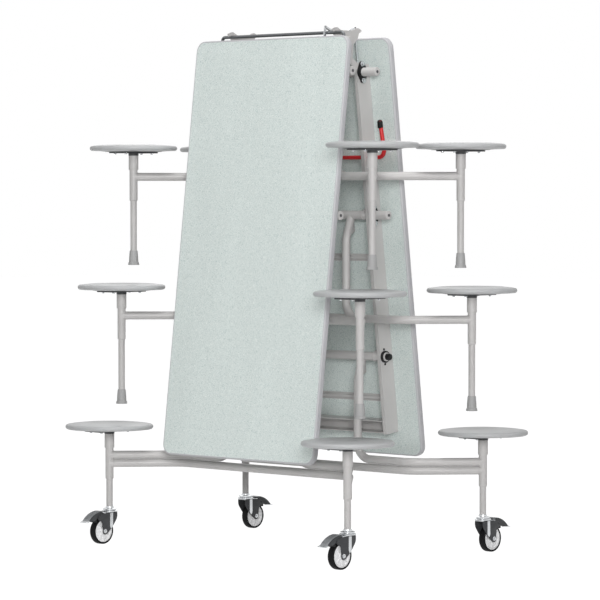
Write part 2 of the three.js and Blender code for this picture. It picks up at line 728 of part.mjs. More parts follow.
// A flat bar that turns on the equaliser and on each stool frame's lug, kneed to pass over the torsion bar.
// It is drawn in the tabletop's flat position, with its pin holes on the pivots.
function stoolLink(lugSide) {
  const across = lugSide * LUG_ACROSS - LUG_THICKNESS / 2 - CLEARANCE;
  const width = LINK_WIDTH / 2;
  const boss = LINK_BOSS_DIAMETER / 2;
  const span = [across - LINK_THICKNESS, across];
  const pins = [[0, 0], ...Object.values(pivotXs).map((x) => [x, pivotZ])];
  const strip = (from, to) => plateAcross(outlineRound([[...from, width], [...to, width]]), ...span);
  const bosses = pins.map((pin) => plateAcross(outlineRound([[...pin, boss]]), ...span));
  const holes = pins.map(([x, z]) => boreAcross(LINK_STUD_DIAMETER, span[0] - 1, span[1] + 1, x, z));
  const knee = [-LINK_KNEE, pivotZ];
  return cut(fuse(strip(pins[0], knee), strip(knee, pins[3]), ...bosses), ...holes);
}

// Release bar: a rod through both rails, cranked into a handle along the tabletop
function releaseBar() {
  const x = RELEASE_FROM_HINGE;
  return fuse(bentTube([
    [x, leftRailOuter + RAIL_WALL, releaseZ, 0],
    [x, -RELEASE_ACROSS, releaseZ, RELEASE_BEND],
    [x - RELEASE_HANDLE, -RELEASE_ACROSS, releaseZ, 0],
  ], RELEASE_DIAMETER, SMALL_SIDES));
}

function releaseGrip() {
  const bore = boreRadius(RELEASE_DIAMETER);
  const outer = bore + GRIP_WALL;
  const cap = turned([
    [0, CLEARANCE],
    [bore, CLEARANCE],
    [bore, -GRIP_LENGTH],
    [outer, -GRIP_LENGTH],
    [outer, 0],
    [outer - GRIP_WALL, GRIP_WALL + CLEARANCE],
    [0, GRIP_WALL + CLEARANCE],
  ], SMALL_SIDES);
  cap.rotateY(-Math.PI / 2);
  return fuse(cap.translate(RELEASE_FROM_HINGE - RELEASE_HANDLE, -RELEASE_ACROSS, releaseZ));
}

// Assembly

const table = new THREE.Group();

function addHalf(half) {
  const isFar = half === 'far';
  const lugSide = isFar ? -1 : 1;
  const sideName = (side) => ((side < 0) === isFar ? 'right' : 'left');
  const turnedHalf = new THREE.Group();
  turnedHalf.rotation.z = isFar ? 0 : Math.PI;
  table.add(turnedHalf);

  const top = new THREE.Group();
  top.position.z = hingeHeight;
  top.rotation.y = foldTurn;
  top.add(node(`${half}_tabletop`, tabletop(), 'laminate'));
  top.add(node(`${half}_rail_${sideName(-1)}`, rail(RAIL_OUTER, -1), 'frame'));
  top.add(node(`${half}_rail_${sideName(1)}`, rail(leftRailOuter, 1), 'frame'));
  top.add(node(`${half}_end_channel`, endChannel(), 'frame'));
  top.add(node(`${half}_inner_stiffener`, stiffener(pivotXs.middle), 'frame'));
  top.add(node(`${half}_outer_stiffener`, stiffener(pivotXs.base), 'frame'));
  if (isFar) {
    top.add(node('release_bar', releaseBar(), 'red'));
    top.add(node('release_grip', releaseGrip(), 'black'));
  }
  turnedHalf.add(top);

  const link = new THREE.Group();
  link.position.set(CRANK_OUT, 0, hingeHeight + CRANK_UP);
  link.rotation.y = foldTurn;
  link.add(node(`${half}_stool_link`, stoolLink(lugSide), 'zinc'));
  turnedHalf.add(link);

  for (const [level, pivotX] of Object.entries(pivotXs)) {
    const stools = new THREE.Group();
    stools.position.x = pivotX * Math.sin(lean) + pivotZ * Math.cos(lean);
    stools.position.z = hingeHeight - pivotX * Math.cos(lean) + pivotZ * Math.sin(lean);
    stools.add(node(`${half}_${level}_frame`, stoolFrame(level, lugSide), 'frame'));
    for (const side of [-1, 1]) {
      const place = new THREE.Group();
      place.position.set(STOOL_OUTWARD, side * STOOL_ACROSS, 0);
      place.add(node(`${half}_${level}_seat_${sideName(side)}`, seat(), 'seat'));
      if (level === 'base') {
        const caster = new THREE.Group();
        caster.position.z = floorZ;
        caster.add(node(`${half}_caster_fork_${sideName(side)}`, casterFork(), 'zinc'));
        caster.add(node(`${half}_caster_wheel_${sideName(side)}`, casterWheel(), 'tyre'));
        caster.add(node(`${half}_caster_pedal_${sideName(side)}`, casterPedal(), 'zinc'));
        place.add(caster);
      } else {
        place.add(node(`${half}_${level}_foot_${sideName(side)}`, foot(), 'foot'));
      }
      stools.add(place);
    }
    turnedHalf.add(stools);
  }
}

function addCentreHinge() {
  const centre = new THREE.Group();
  centre.position.z = hingeHeight;
  centre.add(node('hinge_plate_right', hingePlate(-plateOuter, -plateInner), 'frame'));
  centre.add(node('hinge_plate_left', hingePlate(plateInner, plateOuter), 'frame'));
  centre.add(node('hinge_pin_right', hingePin(-1, lugInner), 'zinc'));
  centre.add(node('hinge_pin_left', hingePin(1, plateInner - RAIL_WALL), 'zinc'));
  centre.add(node('equaliser', equaliser(), 'zinc'));
  centre.add(node('torsion_bar', torsionBar(), 'steel'));
  table.add(centre);
}

addHalf('near');
addHalf('far');
addCentreHinge();

export default table;
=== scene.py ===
"""Finish and surface detail of a mobile folding cafeteria table with twelve round stools.

Metres, +Z up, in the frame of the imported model. Each half of the table has its own flat frame:
x runs out from the centre hinge, y across the table and z up from the hinge axis to the surface.
"""

import json
import math
from itertools import product

import bmesh
import bpy
from bpy.props import FloatProperty, FloatVectorProperty, PointerProperty
from mathutils import Matrix, Vector


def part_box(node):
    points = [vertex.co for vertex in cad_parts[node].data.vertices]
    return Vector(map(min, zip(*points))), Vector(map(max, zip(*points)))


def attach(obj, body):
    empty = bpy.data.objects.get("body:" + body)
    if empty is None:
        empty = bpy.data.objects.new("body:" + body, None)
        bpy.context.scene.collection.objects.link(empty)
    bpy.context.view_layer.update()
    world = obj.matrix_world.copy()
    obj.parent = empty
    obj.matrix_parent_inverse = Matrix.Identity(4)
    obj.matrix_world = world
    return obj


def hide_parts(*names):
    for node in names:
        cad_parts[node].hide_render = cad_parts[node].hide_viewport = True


bl_info = {
    "name": "Folding cafeteria table",
    "version": (1, 0, 0),
    "blender": (4, 5, 0),
    "location": "3D View > Sidebar > Table",
    "description": "Builds the finished pieces of a folding table with stools round its packed model",
    "category": "Object",
}

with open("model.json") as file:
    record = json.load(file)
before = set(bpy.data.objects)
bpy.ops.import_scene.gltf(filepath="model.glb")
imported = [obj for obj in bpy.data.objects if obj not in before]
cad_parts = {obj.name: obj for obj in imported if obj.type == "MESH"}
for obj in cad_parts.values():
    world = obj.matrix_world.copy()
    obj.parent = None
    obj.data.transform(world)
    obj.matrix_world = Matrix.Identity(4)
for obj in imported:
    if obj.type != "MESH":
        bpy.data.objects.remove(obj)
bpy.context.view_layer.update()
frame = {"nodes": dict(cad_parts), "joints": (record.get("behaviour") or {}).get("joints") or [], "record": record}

HALVES = ("near", "far")
LEVELS = ("upper", "middle", "base")
SIDES = ("left", "right")
SIGN = {"near": -1, "far": 1}
SIDE_SIGN = {"left": 1, "right": -1}

JOINTS = {joint["name"]: Vector(joint["pos_m"]) for joint in frame["joints"]}
MOUNTS = {mount["name"]: mount for mount in frame["record"]["mounts"]}
HINGE = JOINTS["centre_hinge_far"]
SURFACE_POINT = Vector(MOUNTS["far_table_surface"]["pos_m"])
SURFACE_NORMAL = Vector(MOUNTS["far_table_surface"]["axis"])
LEAN = math.asin(SURFACE_NORMAL.z)
HINGE_DEPTH = (SURFACE_POINT - HINGE).dot(SURFACE_NORMAL)
PIVOT_HEIGHT = JOINTS["fold"].z
TOP_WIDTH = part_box("far_tabletop")[1].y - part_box("far_tabletop")[0].y


def shift(x=0.0, y=0.0, z=0.0):
    """A move."""
    return Matrix.Translation((x, y, z))


def facing(direction):
    """The turn from up to a direction."""
    return Vector(direction).to_track_quat("Z", "Y").to_matrix().to_4x4()


def sideways(sign):
    """The turn from up to +y, or to -y where the sign is negative."""
    return Matrix.Rotation(-sign * math.pi / 2, 4, "X")


def pivot(half, level):
    """The middle of a stool frame's shaft."""
    return JOINTS["fold" if (half, level) == ("far", "base") else f"{half}_{level}_pivot"]


def link_crank(half):
    """From a shaft to the pin of the parallel link."""
    return JOINTS[f"{half}_link_pivot"] - pivot(half, "base")


def turn_half(half):
    """Turns what is drawn for the far half round to the near one."""
    return Matrix.Rotation(0.0 if half == "far" else math.pi, 4, "Z")


def top_frame(half):
    """The flat frame of a tabletop half."""
    return turn_half(half) @ Matrix.Translation(HINGE) @ Matrix.Rotation(math.pi / 2 - LEAN, 4, "Y")


def stool_frame(half, level):
    """The frame of one pair of stools: x out from its shaft, z up from it."""
    return Matrix.Translation(pivot(half, level)) @ turn_half(half)


def caster_frame(half, side):
    """The frame of one caster: x the way it trails, z up from the floor."""
    swivel = JOINTS[f"{half}_{side}_swivel"]
    return shift(swivel.x, swivel.y) @ turn_half(half)


# Sizes and colours that a user would change


def length(name, description, metres):
    return FloatProperty(
        name=name, description=description, default=metres, min=0.0, unit="LENGTH", precision=4,
    )


def linear(value):
    """One display colour value from 0 to 255 as a linear share."""
    share = value / 255
    return share / 12.92 if share <= 0.04045 else ((share + 0.055) / 1.055) ** 2.4


def colour(name, description, *display):
    return FloatVectorProperty(
        name=name, description=description, subtype="COLOR", size=4, min=0.0, max=1.0,
        default=(*(linear(value) for value in display), 1.0),
    )


class TopSizes(bpy.types.PropertyGroup):
    """The two tabletop halves."""

    reach: length("Length", "Length of one half", 1.520)
    gap: length("Centre gap", "Gap between the halves when open", 0.008)
    thickness: length("Thickness", "Board and trim", 0.024)
    corner: length("Corner radius", "Radius of the four corners seen from above", 0.040)
    trim: length("Trim width", "How far the edge trim reaches onto the surface", 0.0059)
    edge: length("Edge round", "Rounding of the trim", 0.0055)
    seam: length("Seam depth", "How far the laminate lies under the trim", 0.0004)


class StoolSizes(bpy.types.PropertyGroup):
    """The stool frames, their seats and feet."""

    tube: length("Tube", "Diameter of the arms and uprights", 0.030)
    sleeve: length("Sleeve", "Diameter of the sleeve under a seat", 0.036)
    leg: length("Leg", "Diameter of the lower leg", 0.024)
    shaft: length("Shaft", "Diameter of the pivot shaft", 0.032)
    shaft_reach: length("Shaft reach", "Half length of a shaft", 0.352)
    base_shaft_reach: length("Base shaft reach", "Half length of the base shaft", 0.305)
    arm_height: length("Arm height", "Arms above the stool's own floor", 0.326)
    base_drop: length("Base tube drop", "How far the base tube lies under the arms", 0.0305)
    sleeve_bottom: length("Sleeve bottom", "Lower end of the sleeve above its floor", 0.352)
    swage_top: length("Swage top", "Upper end of the taper to the leg", 0.2395)
    swage_bottom: length("Swage bottom", "Lower end of the taper to the leg", 0.236)
    upright_across: length("Upright position", "Uprights from the table's centre line", 0.170)
    upright_inset: length("Upright inset", "How far the uprights stand in from the shaft", 0.029)
    crank: length("Upright crank", "Height of the crank at the top of an upright", 0.085)
    elbow_across: length("Elbow position", "Elbows of the arms from the centre line", 0.425)
    upright_bend: length("Upright bend", "Bend radius from upright to arm", 0.058)
    elbow_bend: length("Elbow bend", "Bend radius of the arm's elbow", 0.085)
    crank_bend: length("Crank bend", "Bend radius of the crank", 0.060)
    brace_reach: length("Brace reach", "Half length of the brace between the uprights", 0.205)
    plate: length("Seat plate", "Length of the plate under a seat", 0.170)
    plate_thickness: length("Seat plate thickness", "Thickness of that plate", 0.005)
    seat_edge: length("Seat edge", "Rounding of the seat's rim", 0.009)
    seat_crown: length("Seat crown", "How far the rim drops below the seat's top", 0.0045)
    # Painted shade: a dark disc under each seat stands for the shade on the seat's underside
    seat_pan: length("Seat pan", "Diameter of the dark pan under a seat", 0.210)
    seat_dish: length("Seat dish", "Depth of the dish", 0.004)
    weld: length("Weld", "Thickness of a weld bead", 0.0036)


class CasterSizes(bpy.types.PropertyGroup):
    """The braked swivel casters."""

    wheel: length("Wheel", "Wheel diameter", 0.096)
    width: length("Width", "Width of the tyre", 0.028)
    hub: length("Hub disc", "Diameter of the pale disc inside the tyre", 0.083)
    fork_gap: length("Fork gap", "Clear width inside the fork", 0.034)
    wall: length("Fork wall", "Thickness of the fork's sheet", 0.003)
    deck: length("Fork deck", "Height of the fork's flat top", 0.116)
    height: length("Height", "Top of the caster's collar", 0.1365)
    strip: length("Fork strip", "Width of the bright strip down a fork's side", 0.014)
    arch: length("Pedal arch", "Radius of the pedal's arched back", 0.092)
    flange: length("Pedal sides", "Depth of the pedal's sides", 0.022)
    sheet: length("Pedal sheet", "Thickness of the pedal's sheet", 0.002)


class HardwareSizes(bpy.types.PropertyGroup):
    """Bearings, hinge plates, bars and bolts."""

    bearing: length("Bearing length", "Length of a flange bearing", 0.0795)
    boss: length("Bearing boss", "Diameter of its boss", 0.0475)
    ear: length("Bearing ear", "Diameter round a bearing's bolt", 0.0215)
    bearing_depth: length("Bearing depth", "How far a bearing stands off its rail", 0.0088)
    cad_bearing: length("Pressed pad", "Thickness of the pad on the rail under a bearing", 0.008)
    ring: length("Base ring", "Diameter of the ring round a base shaft", 0.0432)
    stiffener: length("Stiffener", "Width of a strip across the underside", 0.026)
    stiffener_depth: length("Stiffener depth", "How far that strip stands off the board", 0.011)
    bolt: length("Bolt", "Width of a bolt head", 0.011)
    torsion_bar: length("Torsion bar", "Diameter of the torsion bar", 0.012)
    release_bar: length("Release bar", "Diameter of the release bar", 0.015)
    release_splay: length("Release splay", "How far the release bar's bend lies outside its tip", 0.012)
    link: length("Link", "Width of a parallel link", 0.010)
    link_knee: length("Link knee", "How far a link's knee lies behind the centre hinge", 0.014)


class FinishColours(bpy.types.PropertyGroup):
    """The colours of the finishes."""

    laminate: colour("Laminate", "Ground of the speckled laminate", 210, 219, 216)
    fleck_dark: colour("Dark flecks", "Darker flecks of the laminate", 170, 187, 185)
    fleck_light: colour("Light flecks", "Paler flecks of the laminate", 238, 243, 240)
    trim: colour("Edge trim", "Moulded edge trim", 184, 184, 187)
    paint: colour("Frame paint", "Powder coat of the frames", 190, 188, 187)
    seat: colour("Seat", "Moulded seats", 173, 174, 175)
    # The seat plates are real; their dark colour is painted shade under the seats. The same colour paints the
    # shade band on the sleeves, the disc under each seat and the dots in the shaft ends
    plate: colour("Seat plate", "Dark plates under the seats", 70, 71, 73)
    foot: colour("Foot", "Moulded feet", 165, 165, 165)
    zinc: colour("Zinc", "Bright plated steel", 206, 208, 210)
    # The dark fork colour is also painted on the pedals' sides as the shade that falls on them
    fork: colour("Fork sides", "Dark sides of the caster forks", 66, 67, 69)
    pedal: colour("Pedal", "Ribbed back of the brake pedals", 140, 142, 144)
    tyre: colour("Tyre", "Rubber tread", 18, 18, 19)
    hub: colour("Hub", "Pale wheel disc", 236, 236, 237)
    steel: colour("Spring steel", "Oiled torsion bar", 112, 114, 116)
    # The black of the bearings is also painted in the hinge plates' slots as their shade
    bearing: colour("Bearing", "Black flange bearings and caps", 28, 28, 29)
    red: colour("Red paint", "Release bar", 196, 40, 44)
    grip: colour("Grip", "Dipped tip of the release bar", 24, 24, 24)
    stage: colour("Backdrop", "Floor and surroundings", 250, 250, 250)


SETTINGS = {
    "table_top": TopSizes,
    "table_stool": StoolSizes,
    "table_caster": CasterSizes,
    "table_hardware": HardwareSizes,
    "table_colours": FinishColours,
}


def settings(name):
    return getattr(bpy.context.scene, f"table_{name}")


# Finishes

WHITE = (1.0, 1.0, 1.0, 1.0)
NOISE_MIDDLE = (0.3, 0.7)
SKIN_DEPTH = 0.001
MARK_STRETCH = (1.0, 1.0, 0.22)
MARK_EDGE = (0.60, 0.74)
WORN_SHARE = 0.75
WORN_LIFT = 0.12
ROUGHNESS_RANGE = (0.85, 1.15)
RUBBED_DULLING = 0.22
STREAK_SCALE = (7.0, 7.0, 0.35)
STREAK_TONE = (0.965, 1.03)
# Colour, scale, range of the noise and strength of each layer of flecks
FLECKS = (
    ("fleck_dark", 260.0, (0.56, 0.66), 0.85),
    ("fleck_light", 310.0, (0.57, 0.66), 0.80),
    ("fleck_dark", 620.0, (0.60, 0.68), 0.70),
)


def put(tree, kind, inputs=None, **options):
    """Adds a node, sets its options and fills its inputs with values or with other nodes' outputs."""
    node = tree.nodes.new(kind)
    for key, value in options.items():
        setattr(node, key, value)
    for key, value in (inputs or {}).items():
        if isinstance(value, bpy.types.NodeSocket):
            tree.links.new(value, node.inputs[key])
        else:
            node.inputs[key].default_value = value
    return node


def first(tree, kind, inputs, **options):
    """Adds a node in the same way and gives its first output."""
    return put(tree, kind, inputs, **options).outputs[0]


def calculate(tree, operation, *values):
    return first(tree, "ShaderNodeMath", dict(enumerate(values)), operation=operation)


def noise(tree, vector, scale, detail, roughness=0.5):
    return first(tree, "ShaderNodeTexNoise", {
        "Vector": vector, "Scale": scale, "Detail": detail, "Roughness": roughness,
    })


def remap(tree, value, source, target, **options):
    """Maps one range of values onto another."""
    return first(tree, "ShaderNodeMapRange", {
        "Value": value, "From Min": source[0], "From Max": source[1],
        "To Min": target[0], "To Max": target[1],
    }, **options)


def shaded(tree, tint, share):
    """A colour times a share."""
    return first(tree, "ShaderNodeVectorMath", {0: tint, "Scale": share}, operation="SCALE")


def mix_colours(tree, factor, ground, over):
    """Mixes two colours; the node's colour sockets come after those for numbers and vectors."""
    return put(tree, "ShaderNodeMix", {0: factor, 6: ground, 7: over}, data_type="RGBA").outputs[2]


def effect(name, inputs, outputs):
    """A new shader node group with named sockets: the tree, its inputs and its output node."""
    tree = bpy.data.node_groups.new(name, "ShaderNodeTree")
    for label, kind in inputs.items():
        tree.interface.new_socket(label, in_out="INPUT", socket_type=f"NodeSocket{kind}")
    for label, kind in outputs.items():
        tree.interface.new_socket(label, in_out="OUTPUT", socket_type=f"NodeSocket{kind}")
    return tree, tree.nodes.new("NodeGroupInput").outputs, tree.nodes.new("NodeGroupOutput").inputs


def mottle_effect():
    """Soft uneven tone, as paint and moulded plastic have from one patch to the next."""
    tree, given, made = effect(
        "Uneven tone",
        {"Vector": "Vector", "Colour": "Color", "Scale": "Float", "Depth": "Float"},
        {"Colour": "Color", "Tone": "Float"},
    )
    patches = noise(tree, given["Vector"], given["Scale"], detail=4.0)
    low = calculate(tree, "SUBTRACT", 1.0, given["Depth"])
    high = calculate(tree, "ADD", 1.0, given["Depth"])
    tone = remap(tree, patches, NOISE_MIDDLE, (low, high))
    tree.links.new(shaded(tree, given["Colour"], tone), made["Colour"])
    tree.links.new(patches, made["Tone"])
    return tree


def peel_effect():
    """The fine pebbled height of powder coat and textured mouldings."""
    tree, given, made = effect("Pebbled skin", {"Vector": "Vector", "Scale": "Float"}, {"Height": "Float"})
    tree.links.new(noise(tree, given["Vector"], given["Scale"], detail=1.5), made["Height"])
    return tree


def scuff_effect():
    """Thin rubbed marks left by handling and cleaning, drawn out along z."""
    tree, given, made = effect(
        "Rubbed marks", {"Vector": "Vector", "Scale": "Float", "Amount": "Float"}, {"Mask": "Float"}
    )
    drawn_out = first(tree, "ShaderNodeMapping", {"Vector": given["Vector"], "Scale": MARK_STRETCH})
    marks = noise(tree, drawn_out, given["Scale"], detail=6.0, roughness=0.72)
    edge = remap(tree, marks, MARK_EDGE, (0.0, 1.0), interpolation_type="SMOOTHSTEP")
    tree.links.new(calculate(tree, "MULTIPLY", edge, given["Amount"]), made["Mask"])
    return tree


EFFECTS = {"mottle": mottle_effect, "peel": peel_effect, "scuff": scuff_effect}
effect_groups = {}
finishes = {}


def placed_effect(tree, name, **inputs):
    """Places a shared effect in a material with its own values."""
    if name not in effect_groups:
        effect_groups[name] = EFFECTS[name]()
    return put(tree, "ShaderNodeGroup", inputs, node_tree=effect_groups[name]).outputs


def new_material(name):
    """An empty node material: its tree, its shader's inputs and its Object coordinates."""
    material = bpy.data.materials.new(name)
    material.use_nodes = True
    tree = material.node_tree
    where = put(tree, "ShaderNodeTexCoord").outputs["Object"]
    return material, tree, tree.nodes["Principled BSDF"].inputs, where


def add_skin(tree, shader, where, roughness, skin, rubbed, dulling):
    """Roughness that grows where the surface is rubbed, and a pebbled skin of (scale, strength)."""
    tree.links.new(calculate(tree, "MULTIPLY_ADD", rubbed, dulling, roughness), shader["Roughness"])
    height = placed_effect(tree, "peel", Vector=where, Scale=skin[0])["Height"]
    bump = first(tree, "ShaderNodeBump", {"Strength": skin[1], "Distance": SKIN_DEPTH, "Height": height})
    tree.links.new(bump, shader["Normal"])


def surface(
    label, tint, roughness, metallic=0.0, tone=(9.0, 0.03), skin=(900.0, 0.06), marks=(26.0, 0.3), shine=0.3,
):
    """A paint, metal or moulding: uneven tone, a pebbled skin and rubbed marks.

    tone is (scale, depth), skin is (scale, strength), marks is (scale, amount) and shine the specular level.
    """
    material, tree, shader, where = new_material(label)
    mottled = placed_effect(tree, "mottle", Vector=where, Colour=tint, Scale=tone[0], Depth=tone[1])
    rubbed = placed_effect(tree, "scuff", Vector=where, Scale=marks[0], Amount=marks[1])["Mask"]
    worn = [min(1.0, WORN_SHARE * share + WORN_LIFT) for share in tint[:3]] + [1.0]
    shader["Metallic"].default_value = metallic
    shader["Specular IOR Level"].default_value = shine
    tree.links.new(mix_colours(tree, rubbed, mottled["Colour"], worn), shader["Base Color"])
    spread = [share * roughness for share in ROUGHNESS_RANGE]
    rough = remap(tree, mottled["Tone"], (0.0, 1.0), spread)
    add_skin(tree, shader, where, rough, skin, rubbed, dulling=RUBBED_DULLING)
    return material


def laminate_surface(tints):
    """Speckled laminate: fine dark and pale flecks on an uneven ground, with faint lengthwise streaks."""
    material, tree, shader, where = new_material("speckled laminate")
    drawn_out = first(tree, "ShaderNodeMapping", {"Vector": where, "Scale": STREAK_SCALE})
    streaks = remap(tree, noise(tree, drawn_out, scale=1.0, detail=2.0), NOISE_MIDDLE, STREAK_TONE)
    ground = placed_effect(tree, "mottle", Vector=where, Colour=tints.laminate, Scale=60.0, Depth=0.03)
    result = shaded(tree, ground["Colour"], streaks)
    for tint, scale, threshold, share in FLECKS:
        moved = first(tree, "ShaderNodeMapping", {"Vector": where, "Location": (scale, -scale, 0.5 * scale)})
        mask = remap(tree, noise(tree, moved, scale, detail=2.0), threshold, (0.0, share))
        result = mix_colours(tree, mask, result, getattr(tints, tint))
    tree.links.new(result, shader["Base Color"])
    rubbed = placed_effect(tree, "scuff", Vector=where, Scale=8.0, Amount=0.5)["Mask"]
    add_skin(tree, shader, where, roughness=0.40, skin=(700.0, 0.05), rubbed=rubbed, dulling=0.15)
    return material


LOOKS = {
    "trim": dict(label="edge trim", roughness=0.42, marks=(30.0, 0.25)),
    "paint": dict(
        label="grey powder coat", roughness=0.36, tone=(7.0, 0.025), skin=(1100.0, 0.10), marks=(26.0, 0.12),
    ),
    "seat": dict(
        label="moulded seat", roughness=0.40, tone=(14.0, 0.015), skin=(800.0, 0.03), marks=(26.0, 0.03),
    ),
    # Painted shade: this dark finish stands for the shade under the seats and in the shaft ends
    "plate": dict(label="dark seat plate", roughness=0.45),
    "foot": dict(label="moulded foot", roughness=0.55, skin=(600.0, 0.12)),
    "zinc": dict(label="bright zinc", roughness=0.24, metallic=0.95, tone=(40.0, 0.07), marks=(60.0, 0.4)),
    "fork": dict(
        label="dark fork", roughness=0.38, metallic=0.15, tone=(30.0, 0.08), marks=(50.0, 0.12), shine=0.2,
    ),
    "pedal": dict(label="dull zinc", roughness=0.40, metallic=0.45, tone=(30.0, 0.08), marks=(50.0, 0.3)),
    "tyre": dict(
        label="tyre rubber", roughness=0.62, tone=(30.0, 0.12), skin=(500.0, 0.2), marks=(26.0, 0.06),
        shine=0.12,
    ),
    "hub": dict(label="wheel disc", roughness=0.40, tone=(25.0, 0.03)),
    "steel": dict(label="oiled spring steel", roughness=0.34, metallic=0.85, tone=(60.0, 0.1)),
    "bearing": dict(
        label="black bearing", roughness=0.42, skin=(700.0, 0.15), marks=(26.0, 0.08), shine=0.2,
    ),
    "red": dict(label="red paint", roughness=0.30, skin=(900.0, 0.08), marks=(40.0, 0.25)),
    "grip": dict(label="dipped grip", roughness=0.55, skin=(500.0, 0.15), marks=(26.0, 0.08), shine=0.2),
}


def finish(name):
    """A finish by name, made the first time that it is asked for."""
    tints = settings("colours")
    if name not in finishes:
        if name == "laminate":
            finishes[name] = laminate_surface(tints)
        else:
            finishes[name] = surface(tint=getattr(tints, name), **LOOKS[name])
    return finishes[name]


# Shapes

HERE = Matrix()
MERGE_DISTANCE = 1e-6
SHARP_ANGLE = math.radians(38)
FLAT_ANGLE = math.radians(1)
CREASE = 50
RIM_CREASE = 70
HEAD_CREASE = 40
RING_SIDES = 28
BEND_STEPS = 40
CORNER_STEPS = 6
WASHER = ((0, 0), (0.95, 0), (0.95, 0.10), (0.9, 0.14), (0, 0.14))


class Piece:
    """A piece that is put together from closed shapes, each with its own finish."""

    def __init__(self, place, *looks):
        self.bm = bmesh.new()
        self.place = place
        self.looks = looks

    def add(self, draw, *given, at=HERE, look=None, **options):
        """Draws a shape, closes it, turns it outwards, puts it in place and adds it to the piece."""
        shape = bmesh.new()
        draw(shape, *given, **options)
        bmesh.ops.remove_doubles(shape, verts=shape.verts, dist=MERGE_DISTANCE)
        bmesh.ops.recalc_face_normals(shape, faces=shape.faces)
        bmesh.ops.transform(shape, matrix=self.place @ at, verts=shape.verts)
        for face in shape.faces:
            face.material_index = self.looks.index(look) if look else 0
        mesh = bpy.data.meshes.new("shape")
        shape.to_mesh(mesh)
        shape.free()
        self.bm.from_mesh(mesh)
        bpy.data.meshes.remove(mesh)

    def done(self, name, body, slot, *nodes):
        """Makes the object, hangs it on the empty of the body that it rides on and hides the nodes that it stands
        for.
        """
        mesh = bpy.data.meshes.new(name)
        self.bm.to_mesh(mesh)
        self.bm.free()
        for look in self.looks:
            mesh.materials.append(finish(look))
        mesh.shade_smooth()
        mesh.set_sharp_from_angle(angle=SHARP_ANGLE)
        piece = bpy.data.objects.new(name, mesh)
        bpy.context.scene.collection.objects.link(piece)
        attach(piece, body)
        if nodes:
            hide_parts(*nodes)


def verts_in(items):
    return [item for item in items if isinstance(item, bmesh.types.BMVert)]


def edges_in(items):
    return [item for item in items if isinstance(item, bmesh.types.BMEdge)]


def arc(x, z, radius, start, end, steps):
    """Points round a circle, from one angle to another in degrees."""
    angles = (math.radians(start + (end - start) * i / steps) for i in range(steps + 1))
    return [(x + radius * math.cos(angle), z + radius * math.sin(angle)) for angle in angles]


def mirrored(outline):
    """An outline of (x, z, corner radius) and its mirror image, as one round."""
    return outline + [(-x, z, size) for x, z, size in reversed(outline)]


def lathe(bm, profile, steps):
    """Turns a profile of (radius, height) points about the vertical."""
    points = [bm.verts.new((radius, 0.0, height)) for radius, height in profile]
    edges = [bm.edges.new(pair) for pair in zip(points, points[1:])]
    bmesh.ops.spin(bm, geom=points + edges, axis=(0, 0, 1), angle=2 * math.pi, steps=steps, use_merge=True)


def soften(bm, geom, radius, segments=2, affect="EDGES"):
    """Rounds edges off, or the corners of a flat face."""
    bmesh.ops.bevel(
        bm, geom=list(geom), offset=radius, affect=affect, segments=segments, profile=0.5,
        clamp_overlap=True, material=-1,
    )


def creased(bm, degrees=CREASE):
    """The edges that turn by more than an angle."""
    limit = math.radians(degrees)
    return [edge for edge in bm.edges if len(edge.link_faces) == 2 and edge.calc_face_angle(0.0) > limit]


def raise_faces(bm, faces, move):
    """Gives flat faces a thickness."""
    grown = bmesh.ops.extrude_face_region(bm, geom=faces)["geom"]
    bmesh.ops.translate(bm, verts=verts_in(grown), vec=move)


def block(bm, low, high, radius):
    """A box with softened edges."""
    low, high = Vector(low), Vector(high)
    place = Matrix.Translation((low + high) / 2) @ Matrix.Diagonal((*(high - low), 1.0))
    bmesh.ops.create_cube(bm, size=1.0, matrix=place)
    soften(bm, bm.edges, radius)


def rod(bm, start, end, diameter, sides=32, chamfer=0.0012):
    """A straight round bar with softened ends."""
    start, end = Vector(start), Vector(end)
    along = end - start
    bmesh.ops.create_cone(
        bm, cap_ends=True, segments=sides, radius1=diameter / 2, radius2=diameter / 2,
        depth=along.length, matrix=Matrix.Translation((start + end) / 2) @ facing(along),
    )
    soften(bm, creased(bm), chamfer)


def crossbar(bm, x, z, start, end, *make):
    """A round bar between two places along y, with a rod's diameter, sides and chamfer."""
    rod(bm, (x, start, z), (x, end, z), *make)


def bent_tube(bm, corners, diameter, sides=RING_SIDES):
    """Carries a ring along straight runs and round bends; each corner is (x, y, z, bend radius)."""
    points = [Vector(corner[:3]) for corner in corners]
    heading = (points[1] - points[0]).normalized()
    start = Matrix.Translation(points[0]) @ facing(heading)
    ring = bmesh.ops.create_circle(
        bm, cap_ends=True, radius=diameter / 2, segments=sides, matrix=start,
    )["verts"]
    edges = [edge for edge in bm.edges if edge.verts[0] in ring and edge.verts[1] in ring]
    here = points[0]

    def run_to(place):
        nonlocal ring, edges, here
        grown = bmesh.ops.extrude_edge_only(bm, edges=edges)["geom"]
        ring, edges = verts_in(grown), edges_in(grown)
        bmesh.ops.translate(bm, verts=ring, vec=place - here)
        here = place

    for i in range(1, len(points) - 1):
        arriving = (points[i] - points[i - 1]).normalized()
        leaving = (points[i + 1] - points[i]).normalized()
        angle = arriving.angle(leaving)
        setback = corners[i][3] * math.tan(angle / 2)
        run_to(points[i] - arriving * setback)
        axis = arriving.cross(leaving).normalized()
        turned = bmesh.ops.spin(
            bm, geom=ring + edges, cent=here + axis.cross(arriving) * corners[i][3], axis=axis,
            angle=angle, steps=max(3, round(BEND_STEPS * angle / (2 * math.pi))),
        )["geom_last"]
        ring, edges = verts_in(turned), edges_in(turned)
        here = points[i] + leaving * setback
    run_to(points[-1])
    bmesh.ops.edgeloop_fill(bm, edges=edges)


